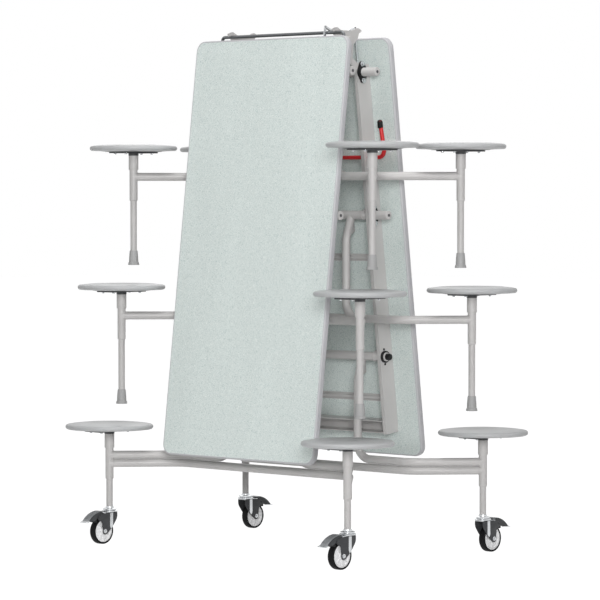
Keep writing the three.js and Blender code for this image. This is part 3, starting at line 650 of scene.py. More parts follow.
def hull(bm, circles, start, end, radius=0.0006):
    """A plate drawn tight round circles, each (x, z, radius), between two places along y."""
    for x, z, size in circles:
        for y in sorted((start, end)):
            place = shift(x, y, z) @ sideways(-1)
            bmesh.ops.create_circle(bm, radius=size, segments=RING_SIDES, matrix=place)
    bmesh.ops.convex_hull(bm, input=bm.verts)
    bmesh.ops.delete(bm, geom=[edge for edge in bm.edges if not edge.link_faces], context="EDGES")
    bmesh.ops.delete(bm, geom=[vert for vert in bm.verts if not vert.link_faces], context="VERTS")
    bmesh.ops.dissolve_limit(bm, angle_limit=FLAT_ANGLE, verts=bm.verts, edges=bm.edges)
    soften(bm, creased(bm), radius)


def plate(bm, outline, start, end, radius=0.0006):
    """A plate with a drawn outline of (x, z, corner radius), between two places along y."""
    low, high = sorted((start, end))
    corners = [bm.verts.new((x, low, z)) for x, z, _ in outline]
    bm.faces.new(corners)
    for corner, (_, _, size) in zip(corners, outline):
        if size:
            soften(bm, [corner], size, CORNER_STEPS, "VERTICES")
    raise_faces(bm, bm.faces[:], (0, high - low, 0))
    soften(bm, creased(bm, RIM_CREASE), radius)


def hexagon(bm, width):
    """A bolt's head."""
    across = 0.577 * width
    bmesh.ops.create_cone(
        bm, cap_ends=True, segments=6, radius1=across, radius2=across, depth=0.5 * width,
    )
    soften(bm, creased(bm, HEAD_CREASE), 0.06 * width)


def bolt(piece, at, outward, width, look="zinc"):
    """A hexagon bolt head on a washer."""
    towards = at @ facing(outward)
    piece.add(lathe, [(x * width, z * width) for x, z in WASHER], 24, at=towards, look=look)
    piece.add(hexagon, width, at=towards @ shift(z=0.38 * width), look=look)


# Pieces

CLEARANCE = 0.0003
BORE_CLEARANCE = 0.0005
FLAT_BAR = 0.005

# Tabletops, their strips and bearings
ON_OUTLINE = 1e-4
OUTLINE_SLACK = 1e-5
STIFFENER_SHEET = 0.0025
BEARING_EDGE = 0.0016
RING_CHAMFER = 0.0015
RING_BOLT = 0.0048
RING_BOLT_REACH = 0.027
BEARING_LIP = ((0, -0.002), (0.006, -0.002), (0.005, 0.0032), (0.003, 0.0042), (0, 0.0042), (0, -0.002))

# Stools; the spread of a plate's bolts is a share of its half length
SHAFT_CHAMFER = 0.002
KNOB = 0.017
KNOB_SEAT = 0.001
FOOT_SOCKET = 0.012
FOOT_EDGE = 0.0022
SLEEVE_EDGE = 0.001
# Height of the dark band painted at the top of a sleeve as the seat's shadow on the post
SEAT_SHADE_BAND = 0.009
PLATE_EDGE = 0.0016
PLATE_BOLT = 0.008
PLATE_BOLT_SPREAD = (0.78, 0.33)
GUSSET_REACH = 0.060

# Links: pins are the diameter, sides and chamfer of a rod
LINK_PIN = (0.008, 20, 0.0008)
LINK_PIN_END = 0.003
LINK_LUG = 0.009
LINK_EYE = 0.008
LINK_EYE_STEP = 0.0002

# Casters; angles of the pedal's arch are in degrees round its centre, which is placed from the axle
FORK_BACK = -0.0215
FORK_FRONT = 0.046
STRIP_START = 0.002
AXLE = (0.010, 24)
AXLE_BOLT = 0.008
STEM = (0.012, 24)
STEM_LENGTH = 0.034
BRAKE_PIN = (0.007, 20, 0.0008)
BRAKE_PIN_END = 0.0015
SWIVEL_RACE = (
    (0, 0), (0.027, 0), (0.0295, 0.0015), (0.0295, 0.0045), (0.027, 0.006), (0.0225, 0.007),
    (0.0225, 0.0085), (0.0255, 0.0095), (0.0255, 0.0125), (0.021, 0.0145), (0.0155, 0.0150),
)
TYRE_SHOULDER = 0.0048
DISC_INSET = 0.0026
SPOKES = 8
SPOKE_HALF = 0.0014
ARCH_CENTRE = (0.010, -0.018)
ARCH_TOP = 95
ARCH_TIP = 38
ARCH_STEPS = 14
CHEEK_TOP = 90
CHEEK_TIP = 55
RIBS = 6
RIB_TOP = 88
RIB_TIP = 46
RIB_PITCH = 0.0056
RIB_HALF = 0.0011
RIB_HEIGHT = 0.0013
RIB_ROOT = 0.0006
BRAKE_HUB = (0.0136, 28)
BRAKE_HUB_REACH = 0.0138
SHOE_GAP = 0.0025
SHOE_MIDDLE = 0.012

# Centre hinge and release bar
# Outline of the dark patch painted as the shade in a hinge plate's slot
HINGE_SLOT_SHADE = ((-0.025, 0.004, 0.0042), (-0.017, -0.004, 0.0042))
HINGE_PIN = 0.016
PIN_HEAD = 0.005
EQUALISER_HUB = 0.016
EQUALISER_EYE = 0.0075
TORSION_BEND = 0.014
RELEASE_BEND = 0.028
GRIP_WALL = 0.0022


class TableOperator:
    """What every operator of this table shares."""

    bl_options = {"REGISTER", "UNDO"}

    def execute(self, context):
        self.make()
        return {"FINISHED"}


def rounded_sheet(bm, low, high, corner):
    """A flat rectangle with round corners."""
    corners = [(low[0], low[1]), (high[0], low[1]), (high[0], high[1]), (low[0], high[1])]
    made = [bm.verts.new((x, y, 0.0)) for x, y in corners]
    bm.faces.new(made)
    soften(bm, made, corner, 2 * CORNER_STEPS, "VERTICES")
    return bm.faces[:][0]


def rounded_board(bm, low, high, corner, thickness):
    """A flat board with round corners."""
    raise_faces(bm, [rounded_sheet(bm, low, high, corner)], (0, 0, thickness))


def trim_ring(bm, low, high, sizes):
    """A moulding round a board, rounded along its outer edges."""
    face = rounded_sheet(bm, low, high, sizes.corner)
    bmesh.ops.inset_region(
        bm, faces=[face], thickness=sizes.trim, use_boundary=True, use_even_offset=True,
    )
    bmesh.ops.delete(bm, geom=[face], context="FACES_ONLY")
    raise_faces(bm, bm.faces[:], (0, 0, sizes.thickness))
    middle = (low + high) / 2
    reach = (high - low) / 2 - Vector((OUTLINE_SLACK, OUTLINE_SLACK))

    def outermost(vert):
        away = [abs(vert.co[i] - middle[i]) - (reach[i] - sizes.corner) for i in (0, 1)]
        return math.hypot(*(max(0.0, value) for value in away)) > sizes.corner - ON_OUTLINE

    rims = [edge for edge in creased(bm, RIM_CREASE) if all(outermost(vert) for vert in edge.verts)]
    soften(bm, rims, sizes.edge, 4)


class TABLE_OT_tops(TableOperator, bpy.types.Operator):
    """Two laminate boards, each in a moulded edge trim"""

    bl_idname = "table.make_tops"
    bl_label = "Tabletops"

    def make(self):
        sizes = settings("top")
        low = Vector((sizes.gap / 2, -TOP_WIDTH / 2))
        high = Vector((sizes.gap / 2 + sizes.reach, TOP_WIDTH / 2))
        inset = Vector((sizes.trim, sizes.trim))
        for half in HALVES:
            place = top_frame(half) @ shift(z=HINGE_DEPTH - sizes.thickness)
            board = Piece(place, "laminate")
            board.add(
                rounded_board, low + inset, high - inset, sizes.corner - sizes.trim,
                sizes.thickness - 2 * sizes.seam, at=shift(z=sizes.seam),
            )
            board.done(f"{half}_board", f"{half}_top", "laminate", f"{half}_tabletop")
            trim = Piece(place, "trim")
            trim.add(trim_ring, low, high, sizes)
            trim.done(f"{half}_edge_trim", f"{half}_top", "laminate")


def make_bearing(half, side, level):
    """A black bearing on the outside of a rail: a two-bolt oval, or a plain ring on a base shaft."""
    sizes = settings("hardware")
    outward = SIDE_SIGN[side] * SIGN[half]
    low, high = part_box(f"{half}_rail_{side}")
    face = abs(high.y if SIDE_SIGN[side] > 0 else low.y) - sizes.cad_bearing
    deep = sizes.bearing_depth
    front = face + deep
    at = top_frame(half).inverted() @ pivot(half, level)
    bore = settings("stool").shaft / 2 + BORE_CLEARANCE
    piece = Piece(top_frame(half) @ shift(at.x, 0, at.z), "bearing", "zinc")
    if level == "base":
        ring = sizes.ring / 2
        profile = [(bore, 0), (ring, 0), (ring, deep - RING_CHAMFER), (ring - RING_CHAMFER, deep)]
        profile += [(bore, deep), (bore, 0)]
        piece.add(lathe, profile, 40, at=shift(y=outward * face) @ sideways(outward))
        reach, bolt_face, bolt_width, look = RING_BOLT_REACH, face, RING_BOLT, "bearing"
    else:
        reach, bolt_face, bolt_width, look = (sizes.bearing - sizes.ear) / 2, front, sizes.bolt, "zinc"
        circles = [(-reach, 0, sizes.ear / 2), (0, 0, sizes.boss / 2), (reach, 0, sizes.ear / 2)]
        piece.add(hull, circles, outward * face, outward * front, BEARING_EDGE)
        profile = [(bore + x, z) for x, z in BEARING_LIP]
        piece.add(lathe, profile, 40, at=shift(y=outward * front) @ sideways(outward))
    for x in (-reach, reach):
        bolt(piece, shift(x, outward * bolt_face), (0, outward, 0), bolt_width, look)
    piece.done(f"{half}_{level}_bearing_{side}", f"{half}_top", "black_grip")


def make_stiffener(half, node):
    """A shallow pressed strip across the underside of a top."""
    low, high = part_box(node)
    at = top_frame(half).inverted() @ ((low + high) / 2)
    sizes = settings("hardware")
    under = HINGE_DEPTH - settings("top").thickness - CLEARANCE
    wide = sizes.stiffener / 2
    flange = under - STIFFENER_SHEET
    outline = mirrored([
        (0.40 * wide, under - sizes.stiffener_depth, 0.003), (0.55 * wide, flange, 0.003), (wide, flange, 0),
        (wide, under, 0),
    ])
    piece = Piece(top_frame(half) @ shift(at.x), "paint")
    piece.add(plate, outline, low.y, high.y)
    piece.done(f"{node}_strip", f"{half}_top", "painted_frame", node)


class TABLE_OT_rails(TableOperator, bpy.types.Operator):
    """The pressed rails and channels under the tops, with their bearings and bolts"""

    bl_idname = "table.make_rails"
    bl_label = "Rails and bearings"

    def make(self):
        for half in HALVES:
            for part in ("rail_left", "rail_right", "end_channel"):
                node = frame["nodes"][f"{half}_{part}"]
                node.data.materials.clear()
                node.data.materials.append(finish("paint"))
            for part in ("inner_stiffener", "outer_stiffener"):
                make_stiffener(half, f"{half}_{part}")
            for side, level in product(SIDES, LEVELS):
                make_bearing(half, side, level)


def add_gusset(piece, side):
    """The small plate welded between an upright and its shaft."""
    sizes = settings("stool")
    edge = sizes.shaft / 4
    outline = [
        (edge, 0, 0), (-sizes.upright_inset, -sizes.crank, 0), (edge + sizes.tube / 4, -GUSSET_REACH, 0.004),
    ]
    piece.add(plate, outline, -FLAT_BAR / 2, FLAT_BAR / 2, at=shift(y=side * sizes.upright_across))


def add_post(piece, side, stool, seat_low, is_base):
    """One stool's post, from its sleeve down to its leg, and the plate that carries the seat."""
    sizes = settings("stool")
    floor = -PIVOT_HEIGHT
    bottom = floor + (settings("caster").height if is_base else FOOT_SOCKET)
    sleeve_low = floor + sizes.sleeve_bottom
    leg, tube, sleeve = sizes.leg / 2, sizes.tube / 2, sizes.sleeve / 2
    top = seat_low - CLEARANCE
    under = top - sizes.plate_thickness
    at = shift(stool.x, side * abs(stool.y))
    post = [
        (0, bottom), (leg, bottom), (leg, floor + sizes.swage_bottom), (tube, floor + sizes.swage_top),
        (tube, sleeve_low), (sleeve - SLEEVE_EDGE, sleeve_low), (sleeve, sleeve_low + SLEEVE_EDGE),
        (sleeve, under), (0, under),
    ]
    piece.add(lathe, post, 32, at=at)
    # Painted shade: a dark band at the top of the sleeve, in the seat plate's colour, stands for the seat's shadow
    # on the post
    collar = under - SEAT_SHADE_BAND
    profile = [(0, collar), (sleeve + 0.0004, collar), (sleeve + SLEEVE_EDGE, under), (0, under)]
    piece.add(lathe, profile, 32, at=at, look="plate")
    reach = sizes.plate / 2
    # The plate is real; its dark colour is painted shade under the seat
    piece.add(block, (-reach, -reach / 2, under), (reach, reach / 2, top), PLATE_EDGE, at=at, look="plate")
    along, across = (share * reach for share in PLATE_BOLT_SPREAD)
    for x, y in product((-along, along), (-across, across)):
        bolt(piece, at @ shift(x, y, under), (0, 0, -1), PLATE_BOLT)
    inward = Vector((-stool.x - sizes.upright_inset, side * (sizes.elbow_across - abs(stool.y)), 0))
    joint = inward.normalized() * (tube + 0.001)
    bead = arc((sizes.tube - 0.002) / 2, 0.0, sizes.weld / 2, 0, 360, 8)
    arm = floor + sizes.arm_height
    for height in (arm, arm - sizes.base_drop) if is_base else (arm,):
        piece.add(lathe, bead, 28, at=at @ shift(joint.x, joint.y, height) @ facing(inward))


def add_shaft_end(piece, side, reach, is_base):
    """The end of a shaft: a black knob on a base shaft, and on the others a small dark plug painted as the shade
    in the shaft's open end.
    """
    radius = settings("stool").shaft / 2
    at = shift(y=side * reach) @ sideways(side)
    if is_base:
        back = -KNOB - KNOB_SEAT
        wide = 0.76 * radius
        profile = [(0, back), (wide, back), (wide, -0.005)]
        profile += [(0.68 * radius, -0.0015), (0.4 * radius, 0), (0, 0)]
        piece.add(lathe, profile, 36, at=at, look="bearing")
    else:
        # Painted shade: a small dark plug stands for the shade in the shaft's open end
        wide = 0.34 * radius
        profile = [(0, -0.002), (wide, -0.002), (wide, 0.0008), (0.26 * radius, 0.0014), (0, 0.0014)]
        piece.add(lathe, profile, 24, at=at, look="plate")


def add_lug(piece, half):
    """The lug and pin that the parallel link turns on."""
    low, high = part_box(f"{half}_stool_link")
    crank = link_crank(half)
    out = abs(crank.x)
    inner, outer = sorted((SIGN[half] * low.y, SIGN[half] * high.y))
    face = outer + CLEARANCE
    circles = [(0, 0, settings("stool").shaft / 2 + 0.002), (out, crank.z, LINK_LUG)]
    piece.add(hull, circles, face, face + FLAT_BAR)
    piece.add(crossbar, out, crank.z, inner - LINK_PIN_END, face + FLAT_BAR, *LINK_PIN, look="zinc")


def make_stool_frame(half, level):
    """A welded frame for one pair of stools."""
    sizes = settings("stool")
    is_base = level == "base"
    place = stool_frame(half, level)
    arm = -PIVOT_HEIGHT + sizes.arm_height
    low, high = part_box(f"{half}_{level}_seat_right")
    seat_low = (place.inverted() @ low).z
    stool = place.inverted() @ ((low + high) / 2)
    across = abs(stool.y)
    inset, upright, elbow = -sizes.upright_inset, sizes.upright_across, sizes.elbow_across
    reach = sizes.base_shaft_reach if is_base else sizes.shaft_reach
    end = reach - KNOB if is_base else reach
    piece = Piece(place, "paint", "plate", "zinc", "bearing")
    piece.add(crossbar, 0, 0, -end, end, sizes.shaft, 32, SHAFT_CHAMFER)
    for side in (-1, 1):
        piece.add(bent_tube, [
            (0, side * upright, 0, 0),
            (inset, side * upright, -sizes.crank, sizes.crank_bend),
            (inset, side * upright, arm, sizes.upright_bend),
            (inset, side * elbow, arm, sizes.elbow_bend),
            (stool.x, side * across, arm, 0),
        ], sizes.tube)
        add_gusset(piece, side)
        add_post(piece, side, stool, seat_low, is_base)
        add_shaft_end(piece, side, reach, is_base)
    if is_base:
        drop = arm - sizes.base_drop
        piece.add(bent_tube, [
            (stool.x, -across, drop, 0),
            (inset, -elbow, drop, sizes.elbow_bend),
            (inset, elbow, drop, sizes.elbow_bend),
            (stool.x, across, drop, 0),
        ], sizes.tube)
    else:
        piece.add(crossbar, inset, arm, -sizes.brace_reach, sizes.brace_reach, sizes.tube)
    add_lug(piece, half)
    name = f"{half}_{level}"
    piece.done(f"{name}_welded_frame", f"{name}_stools", "painted_frame", f"{name}_frame")


class TABLE_OT_stool_frames(TableOperator, bpy.types.Operator):
    """Six welded stool frames: shaft, uprights, arms, brace, posts and seat plates"""

    bl_idname = "table.make_stool_frames"
    bl_label = "Stool frames"

    def make(self):
        for half, level in product(HALVES, LEVELS):
            make_stool_frame(half, level)


def standing_box(node):
    """The place of a round node's underside, its radius and its height."""
    low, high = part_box(node)
    middle = (low + high) / 2
    return shift(middle.x, middle.y, low.z), (high.y - low.y) / 2, high.z - low.z


def make_seat(half, level, side):
    """A moulded seat with a rounded rim, a shallow dish and a dark disc underneath, painted as the shade on its
    underside.
    """
    sizes = settings("stool")
    node = f"{half}_{level}_seat_{side}"
    place, rim, thick = standing_box(node)
    edge = sizes.seat_edge
    dish = sizes.seat_dish
    pan = sizes.seat_pan / 2
    belly = thick - sizes.seat_crown - edge
    shell = [
        (0, 0.0008), (pan + 0.002, 0.0008), (rim - 2.6 * edge, belly - 0.92 * edge),
        *arc(rim - edge, belly, edge, -80, 82, 14),
        (rim - 2.6 * edge, thick - 0.0024), (rim - 5 * edge, thick - 0.0003), (0.60 * rim, thick - 0.0010),
        (0.42 * rim, thick - 0.6 * dish), (0.2 * rim, thick - 0.92 * dish), (0, thick - dish),
    ]
    piece = Piece(place, "seat", "plate")
    piece.add(lathe, shell, 96)
    # Painted shade: the dark disc under the seat stands for the shade on its underside
    dark = [(0, 0), (pan - 0.001, 0), (pan, 0.0006), (pan, 0.002), (0, 0.002)]
    piece.add(lathe, dark, 64, look="plate")
    piece.done(f"{half}_{level}_moulded_seat_{side}", f"{half}_{level}_stools", "seat_shell", node)


class TABLE_OT_seats(TableOperator, bpy.types.Operator):
    """Twelve round moulded seats"""

    bl_idname = "table.make_seats"
    bl_label = "Seats"

    def make(self):
        for half, level, side in product(HALVES, LEVELS, SIDES):
            make_seat(half, level, side)


def make_foot(half, level, side):
    """A flared foot with a socket for the leg."""
    node = f"{half}_{level}_foot_{side}"
    place, flare, tall = standing_box(node)
    leg = settings("stool").leg / 2
    bore = leg + CLEARANCE
    profile = [
        (0, 0.0), (flare - 0.002, 0.0),
        *arc(flare - 0.0012, FOOT_EDGE, FOOT_EDGE, -80, 60, 6),
        (flare - 0.0008, 0.0095), (flare - 0.0026, 0.0108), (0.84 * flare, 0.5 * tall),
        (leg + 0.0028, tall - 0.002), (leg + 0.0018, tall),
        (bore, tall), (bore, FOOT_SOCKET), (0, FOOT_SOCKET),
    ]
    piece = Piece(place, "foot")
    piece.add(lathe, profile, 40)
    piece.done(f"{half}_{level}_ferrule_{side}", f"{half}_{level}_stools", "foot_tip", node)


class TABLE_OT_feet(TableOperator, bpy.types.Operator):
    """Eight flared feet"""

    bl_idname = "table.make_feet"
    bl_label = "Feet"

    def make(self):
        for half, level, side in product(HALVES, ("upper", "middle"), SIDES):
            make_foot(half, level, side)


def make_fork(half, side, place, axle, pin):
    """A pressed fork under a swivel race, with a bright strip down each side."""
    sizes = settings("caster")
    inner = sizes.fork_gap / 2
    outer = inner + sizes.wall
    deck = sizes.deck
    tall = sizes.height
    piece = Piece(place, "fork", "zinc")
    cheek = [
        (-0.021, deck, 0.004), (FORK_BACK, 0.094, 0.010), (0.004, 0.060, 0.014),
        (axle.x - 0.007, axle.z - 0.013, 0.006), (axle.x + 0.009, axle.z - 0.012, 0.006),
        (axle.x + 0.014, 0.082, 0.008), (pin.x + 0.006, 0.091, 0.003), (pin.x + 0.006, pin.z + 0.006, 0.005),
        (0.040, deck, 0.012),
    ]
    for y in (-outer, inner):
        piece.add(plate, cheek, y, y + sizes.wall, 0.0009)
    roof = (FORK_BACK, -outer, deck - 0.003), (FORK_FRONT, outer, deck + 0.0005)
    piece.add(block, *roof, 0.0012, look="zinc")
    start = STRIP_START
    end = STRIP_START + sizes.strip
    strip = [
        (start, deck - 0.002, 0), (end, deck - 0.002, 0),
        (end + 0.001, 0.066, 0.004), (0.012, 0.0545, 0.004), (start, 0.064, 0.004),
    ]
    for y in (-1, 1):
        piece.add(plate, strip, y * (outer - 0.0005), y * (outer + 0.0014), look="zinc")
        bolt(piece, shift(axle.x, y * outer, axle.z), (0, y, 0), AXLE_BOLT)
    race = [(radius, deck + height) for radius, height in SWIVEL_RACE] + [(0.0150, tall), (0, tall)]
    piece.add(lathe, race, 44, look="zinc")
    piece.add(rod, (0, 0, tall - 0.001), (0, 0, tall + STEM_LENGTH), *STEM, look="zinc")
    piece.add(crossbar, axle.x, axle.z, -outer, outer, *AXLE, look="zinc")
    reach = outer + BRAKE_PIN_END
    piece.add(crossbar, pin.x, pin.z, -reach, reach, *BRAKE_PIN)
    node = f"{half}_caster_fork_{side}"
    piece.done(f"{half}_swivel_fork_{side}", node, "zinc", node)


def make_wheel(half, side, place, axle):
    """A black tyre on a pale disc with spokes."""
    sizes = settings("caster")
    turn = place @ Matrix.Translation(axle) @ sideways(-1)
    radius, wide, hub = sizes.wheel / 2, sizes.width / 2, sizes.hub / 2
    node = f"{half}_caster_wheel_{side}"
    tread = radius - TYRE_SHOULDER
    profile = [
        (hub - 0.002, -wide + 0.004), (hub, -wide + 0.001), (hub + 0.0008, -wide),
        *arc(tread, -wide + TYRE_SHOULDER, TYRE_SHOULDER, -90, 0, 6),
        *arc(tread, wide - TYRE_SHOULDER, TYRE_SHOULDER, 0, 90, 6),
        (hub + 0.0008, wide), (hub, wide - 0.001), (hub - 0.002, wide - 0.004),
    ]
    tyre = Piece(turn, "tyre")
    tyre.add(lathe, profile + profile[:1], 72)
    tyre.done(f"{half}_tyre_{side}", node, "caster_wheel", node)
    face = wide - DISC_INSET
    profile = [
        (0.0053, -wide + 0.0005), (0.011, -wide + 0.0005), (0.012, -face + 0.001), (0.017, -face + 0.003),
        (hub - 0.009, -face + 0.0028), (hub - 0.006, -face), (hub, -face),
    ]
    back = [(x, -z) for x, z in reversed(profile)]
    disc = Piece(turn, "hub", "zinc")
    disc.add(lathe, profile + back + profile[:1], 64)
    spoke = (0.0115, -SPOKE_HALF, -face + 0.0008), (hub - 0.006, SPOKE_HALF, face - 0.0008)
    for i in range(SPOKES):
        disc.add(block, *spoke, 0.0006, at=Matrix.Rotation(2 * math.pi * i / SPOKES, 4, "Z"))
    disc.done(f"{half}_wheel_disc_{side}", node, "caster_wheel")


def make_pedal(half, side, place, axle, pin):
    """An arched brake pedal over the tyre: a ribbed back, deep sides, a flat lip and the brake shoe; the sides
    take the dark fork colour as painted shade.
    """
    sizes = settings("caster")
    node = f"{half}_caster_pedal_{side}"
    low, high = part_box(node)
    lip = (high.y - low.y) / 2
    inside = sizes.fork_gap / 2 - CLEARANCE
    middle = (axle.x + ARCH_CENTRE[0], axle.z + ARCH_CENTRE[1])
    arch = sizes.arch
    piece = Piece(place, "pedal", "bearing", "fork", "zinc")

    def band(outer, inner, start, end, inner_end):
        """The outline between two arcs of the pedal's arch."""
        there = arc(*middle, outer, start, end, ARCH_STEPS)
        back = arc(*middle, inner, inner_end, start, ARCH_STEPS)
        return [(x, z, 0) for x, z in there + back]

    sheet = band(arch, arch - sizes.sheet, ARCH_TOP, ARCH_TIP, ARCH_TIP)
    piece.add(plate, sheet, -inside, inside, 0.0003)
    # Painted shade: the pedal's sides take the dark fork colour for the shade that falls on them
    cheek = band(arch - RIB_ROOT, arch - sizes.flange, CHEEK_TOP, ARCH_TIP, CHEEK_TIP)
    for y in (-inside, inside - sizes.sheet):
        piece.add(plate, cheek, y, y + sizes.sheet, 0.0004, look="fork")
    rib = band(arch + RIB_HEIGHT, arch - RIB_ROOT, RIB_TOP, RIB_TIP, RIB_TIP)
    for i in range(RIBS):
        y = (i - (RIBS - 1) / 2) * RIB_PITCH
        piece.add(plate, rib, y - RIB_HALF, y + RIB_HALF, 0.0004)
    x, z = arc(*middle, arch, ARCH_TIP, ARCH_TIP, 1)[0]
    outline = [
        (x - 0.004, z + 0.0036, 0), (x + 0.001, z - 0.0004, 0.003), (x + 0.0085, z - 0.0014, 0),
        (x + 0.0085, z - 0.0034, 0), (x, z - 0.0028, 0.003), (x - 0.0055, z + 0.0018, 0),
    ]
    piece.add(plate, outline, -lip, lip, look="zinc")
    piece.add(crossbar, pin.x, pin.z, -BRAKE_HUB_REACH, BRAKE_HUB_REACH, *BRAKE_HUB, look="fork")
    clear = sizes.wheel / 2 + SHOE_GAP
    shoe = math.sqrt(clear ** 2 - (pin.x + SHOE_MIDDLE - axle.x) ** 2) + axle.z - pin.z
    corners = (0.004, -0.012, shoe + 0.003), (0.018, 0.012, 0.001)
    piece.add(block, *corners, 0.0012, at=Matrix.Translation(pin), look="bearing")
    piece.done(f"{half}_brake_pedal_{side}", node, "zinc", node)


class TABLE_OT_casters(TableOperator, bpy.types.Operator):
    """Four braked swivel casters: forks, wheels and pedals"""

    bl_idname = "table.make_casters"
    bl_label = "Casters"

    def make(self):
        for half, side in product(HALVES, SIDES):
            place = caster_frame(half, side)
            axle = place.inverted() @ JOINTS[f"{half}_{side}_wheel"]
            pin = place.inverted() @ JOINTS[f"{half}_{side}_brake"]
            make_fork(half, side, place, axle, pin)
            make_wheel(half, side, place, axle)
            make_pedal(half, side, place, axle, pin)


def make_hinge_plate(place, side):
    """A horned plate with a dark patch on its outer face, painted as the shade in its slot."""
    node = f"hinge_plate_{side}"
    low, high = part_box(node)
    horn, rise, hub = high.x, high.z - HINGE.z, HINGE.z - low.z
    outline = mirrored([
        (0.38 * horn, 0.76 * rise, 0.020), (0.50 * horn, 0.86 * rise, 0.006), (0.64 * horn, rise, 0.006),
        (0.78 * horn, rise, 0.006), (horn, 0.84 * rise, 0.004), (0.95 * horn, 0.64 * rise, 0.003),
        (0.80 * horn, 0.62 * rise, 0.008), (0.78 * horn, 0.20 * rise, 0.014),
        (0.36 * horn, -0.95 * hub, 0.018),
    ])
    piece = Piece(place, "paint", "bearing")
    piece.add(plate, outline, low.y, high.y, 0.0008)
    outward = SIDE_SIGN[side]
    face = high.y if outward > 0 else low.y
    # Painted shade: a thin black patch stands for the shade inside the slot
    depth = face - outward * 0.001, face + outward * CLEARANCE
    piece.add(hull, HINGE_SLOT_SHADE, *depth, 0.0001, look="bearing")
    piece.done(f"horned_plate_{side}", "centre_hinge", "painted_frame", node)


def make_hinge_pin(place, side):
    """A pin with a domed head."""
    node = f"hinge_pin_{side}"
    low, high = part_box(node)
    outward = SIDE_SIGN[side]
    inner, outer = (low.y, high.y) if outward > 0 else (high.y, low.y)
    head = (high.z - low.z) / 2
    piece = Piece(place, "zinc", "paint")
    piece.add(crossbar, 0, 0, inner, outer - outward * 0.002, HINGE_PIN)
    dome = [(0, 0), (head, 0), (head, 0.002), (0.92 * head, 0.0036), (0.6 * head, 0.0048), (0, PIN_HEAD)]
    at = shift(y=outer - outward * PIN_HEAD) @ sideways(outward)
    piece.add(lathe, dome, 36, at=at, look="paint")
    piece.done(f"turned_pin_{side}", "centre_hinge", "zinc", node)


def make_equaliser(place):
    """A plate with one pin for each parallel link."""
    low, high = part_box("equaliser")
    crank = link_crank("far")
    middle = (low.y + high.y) / 2
    piece = Piece(place, "zinc")
    circles = [(0, 0, EQUALISER_HUB)] + [(x, crank.z, EQUALISER_EYE) for x in (crank.x, -crank.x)]
    piece.add(hull, circles, middle - FLAT_BAR / 2, middle + FLAT_BAR / 2)
    piece.add(crossbar, crank.x, crank.z, low.y, middle, *LINK_PIN)
    piece.add(crossbar, -crank.x, crank.z, middle, high.y, *LINK_PIN)
    piece.done("equaliser_plate", "centre_hinge", "zinc", "equaliser")


def make_torsion_bar(place):
    """A rod along the hinge with both ends bent down."""
    low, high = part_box("torsion_bar")
    thick = settings("hardware").torsion_bar
    x = (low.x + high.x) / 2
    reach = high.y - thick / 2
    top = high.z - HINGE.z - thick / 2
    bottom = low.z - HINGE.z
    corners = [(x, -reach, bottom, 0), (x, -reach, top, TORSION_BEND)]
    corners += [(x, reach, top, TORSION_BEND), (x, reach, bottom, 0)]
    piece = Piece(place, "steel")
    piece.add(bent_tube, corners, thick, 20)
    piece.done("spring_bar", "centre_hinge", "dark_steel", "torsion_bar")


class TABLE_OT_centre_hinge(TableOperator, bpy.types.Operator):
    """The horned hinge plates, pins, equaliser and torsion bar"""

    bl_idname = "table.make_centre_hinge"
    bl_label = "Centre hinge"

    def make(self):
        place = Matrix.Translation(HINGE)
        for side in SIDES:
            make_hinge_plate(place, side)
            make_hinge_pin(place, side)
        make_equaliser(place)
        make_torsion_bar(place)


def make_link(half):
    """A kneed flat link with an eye for each pin."""
    node = f"{half}_stool_link"
    low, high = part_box(node)
    sizes = settings("hardware")
    crank = link_crank(half)
    span = sorted((SIGN[half] * low.y, SIGN[half] * high.y))
    shafts = [top_frame(half).inverted() @ pivot(half, level) for level in LEVELS]
    pins = [(0.0, 0.0)] + [(at.x, at.z) for at in shafts]
    knee = (-sizes.link_knee, pins[1][1])
    strip = sizes.link / 2
    piece = Piece(shift(SIGN[half] * abs(crank.x), 0, crank.z) @ top_frame(half), "zinc")
    for start, end in ((pins[0], knee), (knee, pins[-1])):
        piece.add(hull, [(*start, strip), (*end, strip)], *span)
    for x, z in pins:
        piece.add(hull, [(x, z, LINK_EYE)], span[0] - LINK_EYE_STEP, span[1] + LINK_EYE_STEP)
    piece.done(f"{half}_parallel_link", f"{half}_link", "zinc", node)


class TABLE_OT_links(TableOperator, bpy.types.Operator):
    """The two flat links that keep the stools level"""

    bl_idname = "table.make_links"
    bl_label = "Parallel links"

    def make(self):
        for half in HALVES:
            make_link(half)


class TABLE_OT_release(TableOperator, bpy.types.Operator):
    """The red release bar and its black tip"""

    bl_idname = "table.make_release"
    bl_label = "Release bar"

    def make(self):
        place = top_frame("far")
        sizes = settings("hardware")
        thick = sizes.release_bar
        at = place.inverted() @ JOINTS["release"]
        low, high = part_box("release_bar")
        grip_low, grip_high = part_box("release_grip")
        across = low.y + thick / 2
        tip = (place.inverted() @ ((grip_low + grip_high) / 2)).x
        cover = (grip_high.z - grip_low.z) / 2
        piece = Piece(place, "red")
        piece.add(bent_tube, [
            (at.x, high.y, at.z, 0),
            (at.x, across - sizes.release_splay, at.z, RELEASE_BEND),
            (tip - cover + 0.004, across, at.z, 0),
        ], thick)
        piece.done("red_release_bar", "release", "red_paint", "release_bar")
        outer = thick / 2 + GRIP_WALL
        profile = [
            (0, -cover + 0.001), (thick / 2 + 0.0004, -cover + 0.001), (outer - 0.0006, -cover),
            (outer, -cover + 0.0008), (outer, cover - 0.007),
            *arc(0.0, cover - outer - 0.0005, outer, 20, 90, 6),
        ]
        grip = Piece(place @ shift(tip, across, at.z) @ Matrix.Rotation(-math.pi / 2, 4, "Y"), "grip")
        grip.add(lathe, profile, 32)
        grip.done("dipped_tip", "release", "black_grip", "release_grip")


# Stage

